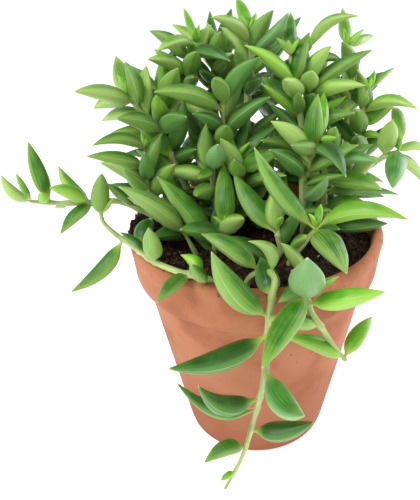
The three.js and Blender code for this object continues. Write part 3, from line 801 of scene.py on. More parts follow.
def stem_point(route: tuple, place: float) -> np.ndarray:
    """Finds a point on a stem's line, a uniform Catmull-Rom curve through the route.

    Args:
        route: The route's points.
        place: Where, counted in points.

    Returns:
        The point.
    """
    points = np.asarray(route, float)
    start = min(int(place), len(points) - 2)
    share = place - start
    one, two = points[start], points[start + 1]
    zero = points[start - 1] if start else 2 * one - two
    three = points[start + 2] if start + 2 < len(points) else 2 * two - one
    leave, arrive = (two - zero) / 2, (three - one) / 2
    return (
        one + leave * share + (
            3 * (two - one) - 2 * leave - arrive
        ) * share**2 + (2 * (one - two) + leave + arrive) * share**3
    )


@dataclass
class Leaf:
    """One leaf in space, in millimetres from the pot's axis."""

    plant: str
    base: np.ndarray
    direction: np.ndarray
    upper: np.ndarray
    length: float
    width: float
    bow: float
    tone: Tone
    filling: bool

    @classmethod
    def from_row(cls, plant: Plant, row: tuple, filling: bool = False) -> "Leaf":
        """Places a leaf row on its stem.

        Args:
            plant: The plant that it grows on.
            row: The layout row.
            filling: Whether it is one of the filling leaves.

        Returns:
            The leaf.
        """
        place, compass, lift, length, width, bow, tone = row
        turn, rise = math.radians(compass), math.radians(lift)
        heading = np.array([math.cos(turn), math.sin(turn), 0.0])
        up = np.array([0.0, 0.0, 1.0])
        direction = heading * math.cos(rise) + up * math.sin(rise)
        upper = up * math.cos(rise) - heading * math.sin(rise)
        base = stem_point(plant.route, place)
        return cls(plant.name, base, direction, upper, length, width, bow, tone, filling)

    def arch(self) -> np.ndarray:
        """Returns the direction that the leaf's middle arches towards."""
        across = self.upper - self.direction * (self.upper @ self.direction)
        return across / np.linalg.norm(across)


@dataclass(frozen=True)
class Settling:
    """How leaves lean away from each other, the stems and the rim until they are clear.

    A leaf is a row of beads along its midline. Overlapping beads turn their leaves about
    their bases, a share of the overlap in each round.
    """

    rounds: int = 60
    share: float = 0.35
    gap: float = 0.6
    give_way: float = 0.8  # share of a push that a filling leaf takes from a named one
    stalk: float = 0.2  # nearer its base than this, a leaf may touch leaves of its own stem
    places: tuple[float, ...] = (0.15, 0.3, 0.45, 0.6, 0.75, 0.9)
    widths: tuple[float, ...] = (0.5, 0.9, 1, 0.9, 0.7, 0.35)
    stem_radius: float = 1.3
    stem_beads: int = 4
    rim_z: float = 97.8
    rim_ring: float = 50.35
    rim_radius: float = 2.2
    rim_beads: int = 72

    def fixed(self, plants: list[Plant]) -> tuple[np.ndarray, np.ndarray, np.ndarray]:
        """Strings beads along every stem and round the pot's rim.

        Args:
            plants: All plants.

        Returns:
            The beads' points, their radii and the number of the plant each belongs to, or -1.
        """
        points, radii, owners = [], [], []
        for number, plant in enumerate(plants):
            count = self.stem_beads * (len(plant.route) - 1)
            for at in range(count + 1):
                points.append(stem_point(plant.route, at / self.stem_beads))
                radii.append(self.stem_radius)
                owners.append(number)
        for at in range(self.rim_beads):
            angle = 2 * math.pi * at / self.rim_beads
            points.append([self.rim_ring * math.cos(angle), self.rim_ring * math.sin(angle), self.rim_z])
            radii.append(self.rim_radius)
            owners.append(-1)
        return np.array(points), np.array(radii), np.array(owners)

    def run(self, plants: list[Plant], leaves: list[Leaf]) -> None:
        """Turns the leaves until they are clear.

        Args:
            plants: All plants.
            leaves: All their leaves, whose directions are changed.
        """
        names = {plant.name: number for number, plant in enumerate(plants)}
        beads = len(self.places)
        owner = np.repeat(np.arange(len(leaves)), beads)
        plant = np.repeat([names[leaf.plant] for leaf in leaves], beads)
        places = np.tile(self.places, len(leaves))
        radii = np.concatenate([leaf.width / 2 * np.array(self.widths) for leaf in leaves])
        fixed_points, fixed_radii, fixed_owner = self.fixed(plants)

        stalks = np.minimum.outer(places, places) < self.stalk
        free = (owner[:, None] == owner) | (stalks & (plant[:, None] == plant))
        free_fixed = plant[:, None] == fixed_owner
        filling = np.repeat([leaf.filling for leaf in leaves], beads).astype(float)
        taken = 0.5 + (self.give_way - 0.5) * (filling[:, None] - filling)
        wanted = radii[:, None] + radii + self.gap
        wanted_fixed = radii[:, None] + fixed_radii + self.gap
        for _ in range(self.rounds):
            points = np.concatenate([self.beads(leaf) for leaf in leaves])
            push = self.pushes(points, points, wanted, free, taken)
            push += self.pushes(points, fixed_points, wanted_fixed, free_fixed, 1.0)
            turns = (push * places[:, None]).reshape(len(leaves), beads, 3).sum(1)
            for leaf, turn in zip(leaves, turns):
                tip = leaf.direction * leaf.length + turn * self.share
                leaf.direction = tip / np.linalg.norm(tip)

    def beads(self, leaf: Leaf) -> list[np.ndarray]:
        """Returns the points of a leaf's beads, along its arched midline."""
        reach = leaf.direction * leaf.length
        arch = leaf.arch() * 4 * leaf.bow
        return [leaf.base + reach * place + arch * place * (1 - place) for place in self.places]

    @staticmethod
    def pushes(
        points: np.ndarray, others: np.ndarray, wanted: np.ndarray, free: np.ndarray, taken: Any
    ) -> np.ndarray:
        """Adds up how far each bead has to move to be clear of the others.

        Args:
            points: The beads.
            others: The beads that they may overlap.
            wanted: The distance wanted between each pair.
            free: True for each pair that may overlap.
            taken: The share of the overlap that the bead itself takes.

        Returns:
            One vector for each bead.
        """
        apart = (points**2).sum(1)[:, None] + (others**2).sum(1) - 2 * points @ others.T
        distance = np.sqrt(np.maximum(apart, 1e-12))
        share = taken * np.where(free | (distance >= wanted), 0.0, (wanted - distance) / distance)
        return share.sum(1)[:, None] * points - share @ others


@dataclass(frozen=True)
class Crown:
    """The young crown at a shoot's tip: a few small leaves, still folded upright."""

    count: int = 3
    golden_angle: float = 137.5
    first: tuple[float, ...] = (50, 9.5, 3.0, 0.6)  # lift, length, width, bow
    last: tuple[float, ...] = (76, 6.0, 2.0, 0.2)

    def leaves(self, plant: Plant, number: int) -> list[Leaf]:
        """Lays out the crown of a plant.

        Args:
            plant: The plant.
            number: Its number, which turns the crown.

        Returns:
            The small leaves.
        """
        rows = []
        for at in range(self.count):
            share = at / (self.count - 1)
            habit = (low + (high - low) * share for low, high in zip(self.first, self.last))
            rows.append((len(plant.route) - 1, 71 * number + self.golden_angle * at, *habit, FRESH))
        return [Leaf.from_row(plant, row) for row in rows]


# ---- Leaves and stems ----
# Half-width of a leaf along its length, as a share of its widest half-width.
LEAF_OUTLINE = (
    (0.0, 0.19), (0.05, 0.17), (0.09, 0.24), (0.16, 0.54), (0.26, 0.86), (0.38, 1.0), (0.50, 0.98),
    (0.63, 0.87), (0.76, 0.66), (0.87, 0.40), (0.95, 0.18), (1.0, 0.02)
)


@dataclass
class Foliage:
    """Makes leaves from leaf points: each point becomes a spindle laid along an arched midline.

    A point's attributes are its leaf's base, run (along it), arch, side and top, each a vector
    in metres, its two colours and its traits (ribbing, bloom, seed).
    """

    finish: bpy.types.Material
    sides: int = 18
    rings: int = 22
    thickness: float = 0.8  # of the leaf's width
    rib_depth: float = 0.16  # scale of the ribs and hollows, as a share of the width
    sway: float = 7.0  # millimetres; a midline's middle wanders by an eighth of it at most
    tree: bpy.types.NodeTree = field(init=False)

    def __post_init__(self) -> None:
        """Builds the tree once for all pieces."""
        self.tree = self.spindles()

    def spindles(self) -> bpy.types.NodeTree:
        """Builds and returns the geometry node tree."""
        inputs = {"Sides": "Int", "Rings": "Int", "Rib Depth": "Float", "Sway": "Float"}
        tree, given, add = new_tree("leaf_spindles", {**inputs, "Skin": "Material"})

        # A tube of radius 1 whose rings crowd towards both ends. It carries its own place.
        tube = add(
            "GeometryNodeMeshCylinder",
            {
                "Vertices": given.outputs["Sides"], "Side Segments": given.outputs["Rings"], "Radius": 1,
                "Depth": 1
            },
            fill_type="NGON"
        )
        at = add("ShaderNodeSeparateXYZ", {0: add("GeometryNodeInputPosition")})
        even = add("ShaderNodeMath", {0: at.outputs[2], 1: 0.5}, operation="ADD")
        wave = add("ShaderNodeMath", {0: even, 1: 2 * math.pi}, operation="MULTIPLY")
        wave = add("ShaderNodeMath", {0: wave}, operation="SINE")
        along = add("ShaderNodeMath", {0: wave, 1: -0.09, 2: even}, operation="MULTIPLY_ADD")
        place = add("ShaderNodeCombineXYZ", {0: at.outputs[0], 1: at.outputs[1], 2: along})
        tube = add(
            "GeometryNodeStoreNamedAttribute", {"Geometry": tube, "Name": "leaf_place", "Value": place},
            data_type="FLOAT_VECTOR"
        )
        leaves = add("GeometryNodeInstanceOnPoints", {"Points": given.outputs[0], "Instance": tube})
        leaves = add("GeometryNodeRealizeInstances", {"Geometry": leaves})

        named = {
            name: add(
                "GeometryNodeInputNamedAttribute", {"Name": f"leaf_{name}"}, data_type="FLOAT_VECTOR"
            ) for name in ("place", "base", "run", "arch", "side", "top", "traits")
        }
        at = add("ShaderNodeSeparateXYZ", {0: named["place"]})
        around_x, around_y, along = at.outputs
        trait = add("ShaderNodeSeparateXYZ", {0: named["traits"]})
        width = add("ShaderNodeFloatCurve", {"Value": along})
        curve = width.mapping.curves[0]
        while len(curve.points) < len(LEAF_OUTLINE):
            curve.points.new(0.5, 0.5)
        for point, (x, y) in zip(curve.points, LEAF_OUTLINE):
            point.location = (x, y)
        width.mapping.update()

        # Ribs and hollows of the flesh.
        flesh = add("ShaderNodeVectorMath", {0: named["place"], 1: (2.2, 2.2, 1.6)}, operation="MULTIPLY")
        flesh = add(
            "ShaderNodeVectorMath", {0: named["traits"], 1: (0, 0, 23.0), 2: flesh},
            operation="MULTIPLY_ADD"
        )
        flesh = add("ShaderNodeTexNoise", {"Vector": flesh, "Scale": 1.0, "Detail": 1.0})
        flesh = add("ShaderNodeMath", {0: flesh, 1: 0.5}, operation="SUBTRACT")
        depth = add("ShaderNodeMath", {0: trait.outputs[0], 1: 0.5}, operation="ADD")
        depth = add("ShaderNodeMath", {0: depth, 1: given.outputs["Rib Depth"]}, operation="MULTIPLY")
        swell = add("ShaderNodeMath", {0: flesh, 1: depth, 2: 1.0}, operation="MULTIPLY_ADD")
        width = add("ShaderNodeMath", {0: width, 1: swell}, operation="MULTIPLY")

        # The section is a lens with softly pinched margins.
        pinch = add("ShaderNodeMath", {0: around_y}, operation="ABSOLUTE")
        pinch = add("ShaderNodeMath", {0: pinch, 1: 0.35, 2: 0.65}, operation="MULTIPLY_ADD")
        across = add("ShaderNodeMath", {0: around_x, 1: width}, operation="MULTIPLY")
        up = add("ShaderNodeMath", {0: around_y, 1: width}, operation="MULTIPLY")
        up = add("ShaderNodeMath", {0: up, 1: pinch}, operation="MULTIPLY")
        rest = add("ShaderNodeMath", {0: 1.0, 1: along}, operation="SUBTRACT")
        arched = add("ShaderNodeMath", {0: along, 1: rest}, operation="MULTIPLY")

        sway = add("ShaderNodeVectorMath", {0: named["base"], 1: (170,) * 3}, operation="MULTIPLY")
        sway = add("ShaderNodeTexNoise", {"Vector": sway, "Scale": 1.0, "Detail": 0.0})
        sway = add(
            "ShaderNodeVectorMath", {0: sway.outputs["Color"], 1: (0.5,) * 3}, operation="SUBTRACT"
        )
        drift = add("ShaderNodeMath", {0: arched, 1: given.outputs["Sway"]}, operation="MULTIPLY")
        spot = add(
            "ShaderNodeVectorMath", {0: sway, 1: drift, 2: named["base"]}, operation="MULTIPLY_ADD"
        )
        for name, amount in (("run", along), ("arch", arched), ("side", across), ("top", up)):
            spot = add(
                "ShaderNodeVectorMath", {0: named[name], 1: amount, 2: spot}, operation="MULTIPLY_ADD"
            )
        leaves = add("GeometryNodeSetPosition", {"Geometry": leaves, "Position": spot})
        leaves = add("GeometryNodeSetShadeSmooth", {"Geometry": leaves})
        leaves = add("GeometryNodeSetMaterial", {"Geometry": leaves, "Material": given.outputs["Skin"]})
        add("NodeGroupOutput", {0: leaves})
        return tree

    def piece(self, name: str, leaves: list[Leaf], origin: np.ndarray) -> bpy.types.Object:
        """Makes one piece from leaves.

        Args:
            name: The piece's name.
            leaves: Its leaves.
            origin: The pot's axis on the ground, in metres.

        Returns:
            The piece.
        """
        vectors: dict[str, list] = {key: [] for key in ("base", "run", "arch", "side", "top", "traits")}
        colours: dict[str, list] = {"skin": [], "window": []}
        for leaf in leaves:
            side = np.cross(leaf.upper, leaf.direction)
            side /= np.linalg.norm(side)
            top = np.cross(leaf.direction, side)
            seed = float(abs(np.sin(leaf.base @ (12.9, 78.2, 37.7) + leaf.length)))
            vectors["base"].append(origin + leaf.base * MM)
            vectors["run"].append(leaf.direction * leaf.length * MM)
            vectors["arch"].append(leaf.arch() * 4 * leaf.bow * MM)
            vectors["side"].append(side * leaf.width / 2 * MM)
            vectors["top"].append(top * leaf.width / 2 * self.thickness * MM)
            vectors["traits"].append((leaf.tone.value.ribbing, leaf.tone.value.bloom, seed))
            colours["skin"].append(self.shaded(leaf.tone.value.skin, seed))
            colours["window"].append(self.shaded(leaf.tone.value.window, seed))
        mesh = new_mesh(name, vectors["base"])
        for key, values in vectors.items():
            set_attribute(mesh, f"leaf_{key}", "FLOAT_VECTOR", values)
        for key, values in colours.items():
            set_attribute(mesh, f"leaf_{key}", "FLOAT_COLOR", values)
        shape = {"Sides": self.sides, "Rings": self.rings, "Rib_Depth": self.rib_depth}
        return grow(new_object(name, mesh), self.tree, **shape, Sway=self.sway * MM, Skin=self.finish)

    @staticmethod
    def shaded(code: str, seed: float) -> tuple[float, ...]:
        """Makes a colour a little lighter or darker for one leaf.

        Args:
            code: The tone's hex colour.
            seed: The leaf's own number, 0 to 1.

        Returns:
            The linear colour.
        """
        light = 0.86 + 0.28 * seed
        red, green, blue, alpha = colour(code)
        return (red * light, green * light, blue * light, alpha)


@dataclass
class Stems:
    """Makes stems: a tube along a route, a little swollen where leaves grow and thin at its tip."""

    finish: bpy.types.Material
    radius: float = 1.15
    swelling: float = 0.35
    tip: float = 0.55  # radius left at the tip, as a share
    sides: int = 12
    steps: int = 9  # between two points of the route
    tree: bpy.types.NodeTree = field(init=False)

    def __post_init__(self) -> None:
        """Builds the tree once for all pieces."""
        self.tree = self.tube()

    def tube(self) -> bpy.types.NodeTree:
        """Builds and returns the geometry node tree, which makes a tube of its input's edges."""
        tree, given, add = new_tree("stem_tube", {"Sides": "Int", "Skin": "Material"})
        radius = add("GeometryNodeInputNamedAttribute", {"Name": "stem_radius"}, data_type="FLOAT")
        line = add("GeometryNodeMeshToCurve", {"Mesh": given.outputs[0]})
        length = add("GeometryNodeSplineParameter").outputs["Length"]
        line = add(
            "GeometryNodeStoreNamedAttribute", {"Geometry": line, "Name": "stem_length", "Value": length},
            data_type="FLOAT"
        )
        ring = add(
            "GeometryNodeCurvePrimitiveCircle", {"Resolution": given.outputs["Sides"], "Radius": 1}
        )
        ring = add(
            "GeometryNodeStoreNamedAttribute",
            {"Geometry": ring, "Name": "stem_ring", "Value": add("GeometryNodeInputPosition")},
            data_type="FLOAT_VECTOR"
        )
        tube = add(
            "GeometryNodeCurveToMesh",
            {"Curve": line, "Profile Curve": ring, "Scale": radius, "Fill Caps": True}
        )
        length = add("GeometryNodeInputNamedAttribute", {"Name": "stem_length"}, data_type="FLOAT")
        around = add("GeometryNodeInputNamedAttribute", {"Name": "stem_ring"}, data_type="FLOAT_VECTOR")
        around = add("ShaderNodeSeparateXYZ", {0: around})
        place = add("ShaderNodeCombineXYZ", {0: around.outputs[0], 1: around.outputs[1], 2: length})
        tube = add(
            "GeometryNodeStoreNamedAttribute", {"Geometry": tube, "Name": "stem_place", "Value": place},
            data_type="FLOAT_VECTOR"
        )
        tube = add("GeometryNodeSetShadeSmooth", {"Geometry": tube})
        tube = add("GeometryNodeSetMaterial", {"Geometry": tube, "Material": given.outputs["Skin"]})
        add("NodeGroupOutput", {0: tube})
        return tree

    def piece(self, name: str, plant: Plant, rows: list[tuple], origin: np.ndarray) -> bpy.types.Object:
        """Makes a plant's stem.

        Args:
            name: The piece's name.
            plant: The plant.
            rows: All its leaf rows, whose places swell the stem.
            origin: The pot's axis on the ground, in metres.

        Returns:
            The piece.
        """
        last = len(plant.route) - 1
        places = np.linspace(0, last, last * self.steps + 1)
        points = np.array([stem_point(plant.route, place) for place in places])
        nodes = np.array([row[0] for row in rows])
        near = np.exp(-(((places[:, None] - nodes) * 9) ** 2)).max(1)
        taper = 1 - (1 - self.tip) * np.clip((places / last - 0.55) / 0.45, 0, 1) ** 1.5
        radius = (self.radius * taper + self.swelling * near * taper) * MM
        edges = [(at, at + 1) for at in range(len(points) - 1)]
        mesh = new_mesh(name, origin + points * MM, edges)
        set_attribute(mesh, "stem_radius", "FLOAT", radius)
        return grow(new_object(name, mesh), self.tree, Sides=self.sides, Skin=self.finish)


@dataclass
class Planting:
    """The whole plant: trailing strands, upright shoots and the shoots behind them."""

    foliage: Foliage
    stems: Stems
    origin: np.ndarray
    settling: Settling = Settling()
    fill: FillHabit = FillHabit()
    crown: Crown = Crown()

    def build(self) -> None:
        """Lays out all leaves, settles them, and makes each plant's pieces."""
        back = [shoot.plant() for shoot in BACK_SHOOTS]
        plants = [*STRANDS, *SHOOTS, *back]
        rows = {plant.name: list(plant.leaves) for plant in plants}
        for number, plant in enumerate(SHOOTS):
            rows[plant.name] += self.fill.rows(plant, number)
        leaves = {name: [] for name in rows}
        for plant in plants:
            named = len(plant.leaves)
            leaves[plant.name] = [
                Leaf.from_row(plant, row, at >= named) for at, row in enumerate(rows[plant.name])
            ]
        self.settling.run(plants, [leaf for group in leaves.values() for leaf in group])

        for plant in STRANDS:
            stem = self.stems.piece(f"stem_of_{plant.name}", plant, rows[plant.name], self.origin)
            hand_over(stem, "stem", f"{plant.name}_stem")
            for number, leaf in enumerate(leaves[plant.name], 1):
                piece = self.foliage.piece(f"banana_leaf_{plant.name}_{number}", [leaf], self.origin)
                hand_over(piece, "leaf", f"{plant.name}_leaf_{number}")
        for number, plant in enumerate([*SHOOTS, *back]):
            stem = self.stems.piece(f"stem_of_{plant.name}", plant, rows[plant.name], self.origin)
            hand_over(stem, "stem", plant.name)
            group = [*leaves[plant.name], *self.crown.leaves(plant, number)]
            piece = self.foliage.piece(f"leaves_of_{plant.name}", group, self.origin)
            hand_over(piece, "leaf", plant.name)


# ---- The pot and its soil ----
def arc(centre: tuple[float, float], radius: float, start: float, end: float, steps: int) -> list:
    """Lists points on an arc in the plane of an outline.

    Args:
        centre: Its centre, as (radius, height).
        radius: Its radius.
        start: The angle of its first point, in degrees.
        end: The angle of its last point.
        steps: How many steps it is cut into.

    Returns:
        The points.
    """
    angles = np.radians(np.linspace(start, end, steps + 1))
    return [(centre[0] + radius * math.cos(a), centre[1] + radius * math.sin(a)) for a in angles]


def bend(points: tuple, steps: int) -> list:
    """Lists points on a Bezier curve.

    Args:
        points: Its four control points.
        steps: How many steps it is cut into.

    Returns:
        The points.
    """
    one, two, three, four = np.asarray(points, float)
    shares = np.linspace(0, 1, steps + 1)[:, None]
    rest = 1 - shares
    curve = one * rest**3 + 3 * two * rest**2 * shares + 3 * three * rest * shares**2 + four * shares**3
    return [tuple(point) for point in curve]


@dataclass
class Pot:
    """A standard clay flower pot: a conical body under a taller collar, with a drain hole.

    Sizes are in millimetres.
    """

    finish: bpy.types.Material
    origin: np.ndarray
    height: float = 100.0
    base_radius: float = 32.0
    neck_radius: float = 47.4
    rim_radius: float = 52.5
    mouth_radius: float = 48.2
    mouth_taper: float = 1.2
    collar_height: float = 18.0
    wall: float = 4.5
    floor: float = 7.0
    drain_radius: float = 6.5
    foot_edge: float = 1.4
    rim_round: float = 2.0
    lip_round: float = 1.8
    collar_bend: tuple = ((49.4, 80.0), (51.1, 81.6), (51.2, 86.5))  # radius and height
    collar_side: tuple[float, float] = (51.7, 92.5)
    waver: float = 0.16
    sides: int = 192

    def outline(self) -> np.ndarray:
        """Draws the wall's outline.

        Returns:
            Rows of (radius, height): up the outside, over the rim, down the inside and out
            through the drain hole.
        """
        neck = self.height - self.collar_height
        top = self.height - self.rim_round
        slope = self.neck_radius - self.base_radius
        body = [(self.base_radius + slope * share, neck * share) for share in np.linspace(0.05, 0.95, 14)]
        collar = ((self.neck_radius - 0.3, neck - 3.0), *self.collar_bend)
        inside = [
            (self.mouth_radius - self.mouth_taper * 0.5, self.height - 9),
            (self.mouth_radius - self.mouth_taper, neck), (self.neck_radius - self.wall, neck - 4),
            (self.base_radius - self.wall + 1, self.floor + 2),
            (self.base_radius - self.wall - 1, self.floor), (self.drain_radius + 0.6, self.floor),
            (self.drain_radius, self.floor - 0.6), (self.drain_radius, 0.6), (self.drain_radius + 0.6, 0)
        ]
        return np.array(
            [
                *arc((self.base_radius - self.foot_edge, self.foot_edge), self.foot_edge, -90, 0, 4),
                *body, *bend(collar, 9), self.collar_side,
                *arc((self.rim_radius - self.rim_round, top), self.rim_round, 0, 90, 6),
                *arc((self.mouth_radius + self.lip_round, top + 0.2), self.lip_round, 90, 180, 6), *inside
            ]
        )

    def build(self) -> None:
        """Turns the outline into a closed wall, a little uneven as hand-finished clay is."""
        outline = self.outline()
        rows = len(outline)
        turns = np.linspace(0, 2 * math.pi, self.sides, endpoint=False)
        points = []
        for turn in turns:
            uneven = 1.0 * math.sin(2 * turn + 0.7) + 0.5 * math.sin(3 * turn + outline[0][0])
            for radius, height in outline:
                waver = self.waver * (
                    uneven + 0.5 * math.sin(5 * turn + height * 0.09)
                ) * height / self.height
                lift = self.waver * 0.8 * math.sin(3 * turn + 1.9) * (height / self.height) ** 6
                reach = radius + waver
                points.append((reach * math.cos(turn), reach * math.sin(turn), height + lift))
        faces = []
        for side in range(self.sides):
            here, there = side * rows, (side + 1) % self.sides * rows
            for row in range(rows):
                above = (row + 1) % rows
                faces.append((here + row, there + row, there + above, here + above))
        mesh = new_mesh("terracotta_pot", self.origin + np.array(points) * MM, faces=faces)
        mesh.materials.append(self.finish)
        mesh.shade_smooth()
        hand_over(new_object("terracotta_pot", mesh), "terracotta", "pot")


@dataclass(frozen=True)
class Strewing:
    """Loose grains on a bed; sizes in millimetres, density in grains for each square metre."""

    name: str
    spacing: float
    density: float
    smallest: float
    largest: float
    seed: int

    def inputs(self) -> dict[str, Any]:
        """Returns the values for the tree's inputs."""
        sizes = {"Spacing": self.spacing, "Smallest": self.smallest, "Largest": self.largest}
        scaled = {key: value * MM for key, value in sizes.items()}
        return {**scaled, "Density": self.density, "Seed": self.seed}


STREWN = (
    Strewing("soil_crumbs", spacing=0.9, density=700e3, smallest=0.35, largest=1.25, seed=3),
    Strewing("soil_lumps", spacing=4.0, density=60e3, smallest=1.0, largest=2.3, seed=5),
    Strewing("perlite_grains", spacing=5.5, density=12e3, smallest=0.45, largest=1.1, seed=11),
    Strewing("soil_on_the_rim", spacing=0.8, density=1.2e6, smallest=0.4, largest=1.5, seed=7)
)


@dataclass
class Soil:
    """The potting soil, heaped towards the left of the rim, with loose crumbs and perlite.

    Sizes are in millimetres.
    """

    finish: bpy.types.Material
    grains: bpy.types.Material
    origin: np.ndarray
    radius: float = 47.2
    edge: float = 93.5
    crown: float = 97.0
    sides_down: tuple = ((47.0, 82.0), (42.4, 77.5), (26.2, 7.3))  # its outline below the top
    strewn_reach: float = 0.985  # share of the radius that grains lie on
    heap_compass: float = 186.0
    heap_spread: float = 24.0
    heap_radius: float = 44.0
    heap_width: float = 9.0
    heap_height: float = 10.5
    lumps: tuple = ((0.09, 1.6), (0.31, 1.0), (0.8, 0.5))  # how often in a millimetre, and height
    rings: int = 60
    sides: int = 168
    rim_z: float = 100.0
    spill_compass: tuple[float, float] = (160, 206)
    spill_steps: int = 40
    spill_inner: float = 46.5
    spill_outer: float = 51.6
    spill_ragged: float = 1.8
    spill_heights: tuple[float, ...] = (2.6, 2.4, 1.5, 0.2)  # above the rim, from its inside out

    def top(self, radius: float, turn: float) -> float:
        """Finds the soil's height.

        Args:
            radius: The distance from the axis.
            turn: The compass, in radians.

        Returns:
            The height.
        """
        share = radius / self.radius
        away = (math.degrees(turn) - self.heap_compass + 180) % 360 - 180
        heap = math.exp(
            -((away / self.heap_spread) ** 2) - ((radius - self.heap_radius) / self.heap_width) ** 2
        )
        spot = Vector((radius * math.cos(turn), radius * math.sin(turn), 0.0))
        lumps = sum(noise.noise(spot * often) * height for often, height in self.lumps)
        mound = (self.crown - self.edge) * (1 - share * share)
        return self.edge + mound + self.heap_height * heap + lumps

    def surface(self, reach: float) -> tuple[np.ndarray, list]:
        """Lays out the top as rings round a middle point.

        Args:
            reach: The outermost ring's share of the soil's radius.

        Returns:
            The points in metres, the middle one first and the outermost ring last, and the
            faces.
        """
        points = [(0.0, 0.0, self.top(0.0, 0.0))]
        for ring in range(1, self.rings + 1):
            radius = self.radius * reach * ring / self.rings
            for side in range(self.sides):
                turn = 2 * math.pi * side / self.sides
                points.append((radius * math.cos(turn), radius * math.sin(turn), self.top(radius, turn)))
        faces: list[tuple] = []
        for side in range(self.sides):
            after = (side + 1) % self.sides
            faces.append((0, 1 + side, 1 + after))
            for ring in range(self.rings - 1):
                low, high = 1 + ring * self.sides, 1 + (ring + 1) * self.sides
                faces.append((low + side, high + side, high + after, low + after))
        return self.origin + np.array(points) * MM, faces

    def build(self) -> None:
        """Makes the body of soil, the crumbs on it and on the rim, and the perlite."""
        points, faces = self.surface(1.0)
        turns = np.linspace(0, 2 * math.pi, self.sides, endpoint=False)
        for radius, height in self.sides_down:
            ring = np.stack(
                [radius * np.cos(turns), radius * np.sin(turns), np.full(self.sides, height)], 1
            )
            here = len(points) - self.sides
            points = np.concatenate([points, self.origin + ring * MM])
            below = len(points) - self.sides
            for side in range(self.sides):
                after = (side + 1) % self.sides
                faces.append((here + side, below + side, below + after, here + after))
        faces.append(tuple(range(len(points) - 1, len(points) - 1 - self.sides, -1)))
        mesh = new_mesh("body_of_soil", points, faces=faces)
        mesh.materials.append(self.finish)
        mesh.shade_smooth()
        hand_over(new_object("body_of_soil", mesh), "potting_soil", "soil")

        tree = self.scatter()
        for grains in STREWN:
            finish = self.grains if grains.name == "perlite_grains" else self.finish
            if grains.name == "soil_on_the_rim":
                bed = self.rim_band(grains.name)
            else:
                spots, faces = self.surface(self.strewn_reach)
                bed = new_mesh(grains.name, spots, faces=faces)
            piece = new_object(grains.name, bed)
            grow(piece, tree, **grains.inputs(), Skin=finish)
            hand_over(piece, "potting_soil", "soil")

    def rim_band(self, name: str) -> bpy.types.Mesh:
        """Makes the part of the rim's top that soil has spilled on.

        Args:
            name: The mesh's name.

        Returns:
            A ragged open band.
        """
        rows = len(self.spill_heights)
        points = []
        for turn in np.radians(np.linspace(*self.spill_compass, self.spill_steps)):
            reach = self.spill_outer + self.spill_ragged * noise.noise(Vector((turn * 9, 3.0, 0.0)))
            for radius, height in zip(np.linspace(self.spill_inner, reach, rows), self.spill_heights):
                points.append((radius * math.cos(turn), radius * math.sin(turn), self.rim_z + height))
        faces = []
        for at in range(self.spill_steps - 1):
            for row in range(rows - 1):
                here, there = rows * at + row, rows * (at + 1) + row
                faces.append((here, here + 1, there + 1, there))
        return new_mesh(name, self.origin + np.array(points) * MM, faces=faces)

    @staticmethod
    def scatter() -> bpy.types.NodeTree:
        """Builds and returns the geometry node tree that strews rough grains over a surface."""
        inputs = {key: "Float" for key in ("Spacing", "Density", "Smallest", "Largest")}
        tree, given, add = new_tree("strewn_grains", {**inputs, "Seed": "Int", "Skin": "Material"})
        points = add(
            "GeometryNodeDistributePointsOnFaces",
            {
                "Mesh": given.outputs[0], "Distance Min": given.outputs["Spacing"],
                "Density Max": given.outputs["Density"], "Seed": given.outputs["Seed"]
            },
            distribute_method="POISSON"
        )
        grain = add("GeometryNodeMeshIcoSphere", {"Radius": 1.0, "Subdivisions": 1})
        size = add(
            "FunctionNodeRandomValue",
            {2: given.outputs["Smallest"], 3: given.outputs["Largest"], 8: given.outputs["Seed"]},
            data_type="FLOAT"
        )
        turn = add(
            "FunctionNodeRandomValue", {0: (0, 0, 0), 1: (6.28,) * 3, 8: 41}, data_type="FLOAT_VECTOR"
        )
        shape = add(
            "FunctionNodeRandomValue", {0: (0.6,) * 3, 1: (1.2,) * 3, 8: 43}, data_type="FLOAT_VECTOR"
        )
        shape = add("ShaderNodeVectorMath", {0: shape, 3: size.outputs[1]}, operation="SCALE")
        grains = add(
            "GeometryNodeInstanceOnPoints",
            {"Points": points, "Instance": grain, "Rotation": turn, "Scale": shape}
        )
        grains = add("GeometryNodeRealizeInstances", {"Geometry": grains})

        # Every grain is knocked out of round.
        spot = add("GeometryNodeInputPosition")
        dents = add("ShaderNodeTexNoise", {"Vector": spot, "Scale": 1100.0, "Detail": 1.0})
        dents = add(
            "ShaderNodeVectorMath", {0: dents.outputs["Color"], 1: (0.5,) * 3}, operation="SUBTRACT"
        )
        dents = add("ShaderNodeVectorMath", {0: dents, 3: given.outputs["Largest"]}, operation="SCALE")
        grains = add("GeometryNodeSetPosition", {"Geometry": grains, "Offset": dents})
        grains = add("GeometryNodeSetMaterial", {"Geometry": grains, "Material": given.outputs["Skin"]})
        add("NodeGroupOutput", {0: grains})
        return tree


# ---- The studio ----
@dataclass(frozen=True)
class Lamp:
    """A soft square box of light that faces the plant.

    Its place and width are in metres, the place from the foot of the pot's axis.
    """

    name: str
    place: tuple[float, float, float]
    watts: float
    width: float
    tint: str = "#ffffff"
    aim: tuple[float, float, float] = (0, 0, 0.09)

    def build(self, origin: np.ndarray) -> None:
        """Adds the lamp; origin is the foot of the pot's axis."""
        data = bpy.data.lights.new(self.name, "AREA")
        data.energy = self.watts
        data.color = colour(self.tint)[:3]
        data.size = self.width
        lamp = new_object(self.name, data)
        lamp.location = origin + np.array(self.place)
        aim = Vector(origin + np.array(self.aim)) - lamp.location
        lamp.rotation_euler = aim.to_track_quat("-Z", "Y").to_euler()


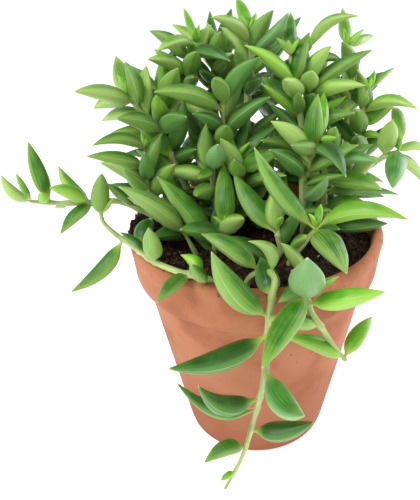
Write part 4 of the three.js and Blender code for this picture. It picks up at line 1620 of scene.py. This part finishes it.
LAMPS = (
    Lamp("key", place=(-0.5, -0.42, 0.8), watts=5.5, width=0.4),
    Lamp("fill", place=(0.5, -0.75, 0.5), watts=1.0, width=0.7),
    Lamp("edge", place=(0.65, 0.30, 0.4), watts=4.6, width=0.5, tint="#f2ecff")
)


@dataclass
class Studio:
    """A pale table, soft light from the left and front, and the camera in front and above."""

    origin: np.ndarray
    camera_mm: tuple[float, float, float] = (0.0, -220.5, 212.0)
    pitch: float = 60.5  # degrees up from straight down
    lens: float = 42.48
    shift: float = -0.0928
    table: float = 4.0  # side, in metres
    table_glow: float = 0.42
    sky: str = "#fbfbff"
    sky_light: float = 0.62

    def build(self) -> None:
        """Sets up the camera, the table, the lights and the surroundings."""
        scene = bpy.context.scene
        scene.view_settings.view_transform = "Standard"
        data = bpy.data.cameras.new("camera")
        data.sensor_width = 36
        data.lens = self.lens
        data.shift_x = self.shift
        data.clip_start = 0.01
        camera = new_object("camera", data)
        camera.location = self.origin + np.array(self.camera_mm) * MM
        camera.rotation_euler = (math.radians(self.pitch), 0, 0)
        scene.camera = camera

        half = self.table / 2
        corners = np.array([(-half, -half, 0), (half, -half, 0), (half, half, 0), (-half, half, 0)])
        table = new_object("table", new_mesh("table", corners - (0, 0, 0.1 * MM), faces=[(0, 1, 2, 3)]))
        surface, _, _ = new_surface(
            "white_table", Base_Color=colour("#f9f9f9"), Roughness=0.9, Emission_Color=colour("#ffffff"),
            Emission_Strength=self.table_glow
        )
        table.data.materials.append(surface)

        for lamp in LAMPS:
            lamp.build(self.origin)
        world = bpy.data.worlds.new("studio")
        world.use_nodes = True
        background = world.node_tree.nodes["Background"]
        background.inputs["Color"].default_value = colour(self.sky)
        background.inputs["Strength"].default_value = self.sky_light
        scene.world = world


def main() -> None:
    """Builds the studio, the pot, the soil and the plant."""
    logging.basicConfig(level=logging.INFO, format="%(name)s: %(message)s")
    low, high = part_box("pot")
    origin = np.array(((low[0] + high[0]) / 2, (low[1] + high[1]) / 2, low[2]))
    Studio(origin).build()
    Pot(Terracotta().material(), origin).build()
    Soil(PottingSoil().material(), Perlite().material(), origin).build()
    leaves = Foliage(LeafSkin().material())
    Planting(leaves, Stems(StemSkin().material()), origin).build()


if __name__ == "__main__":
    main()
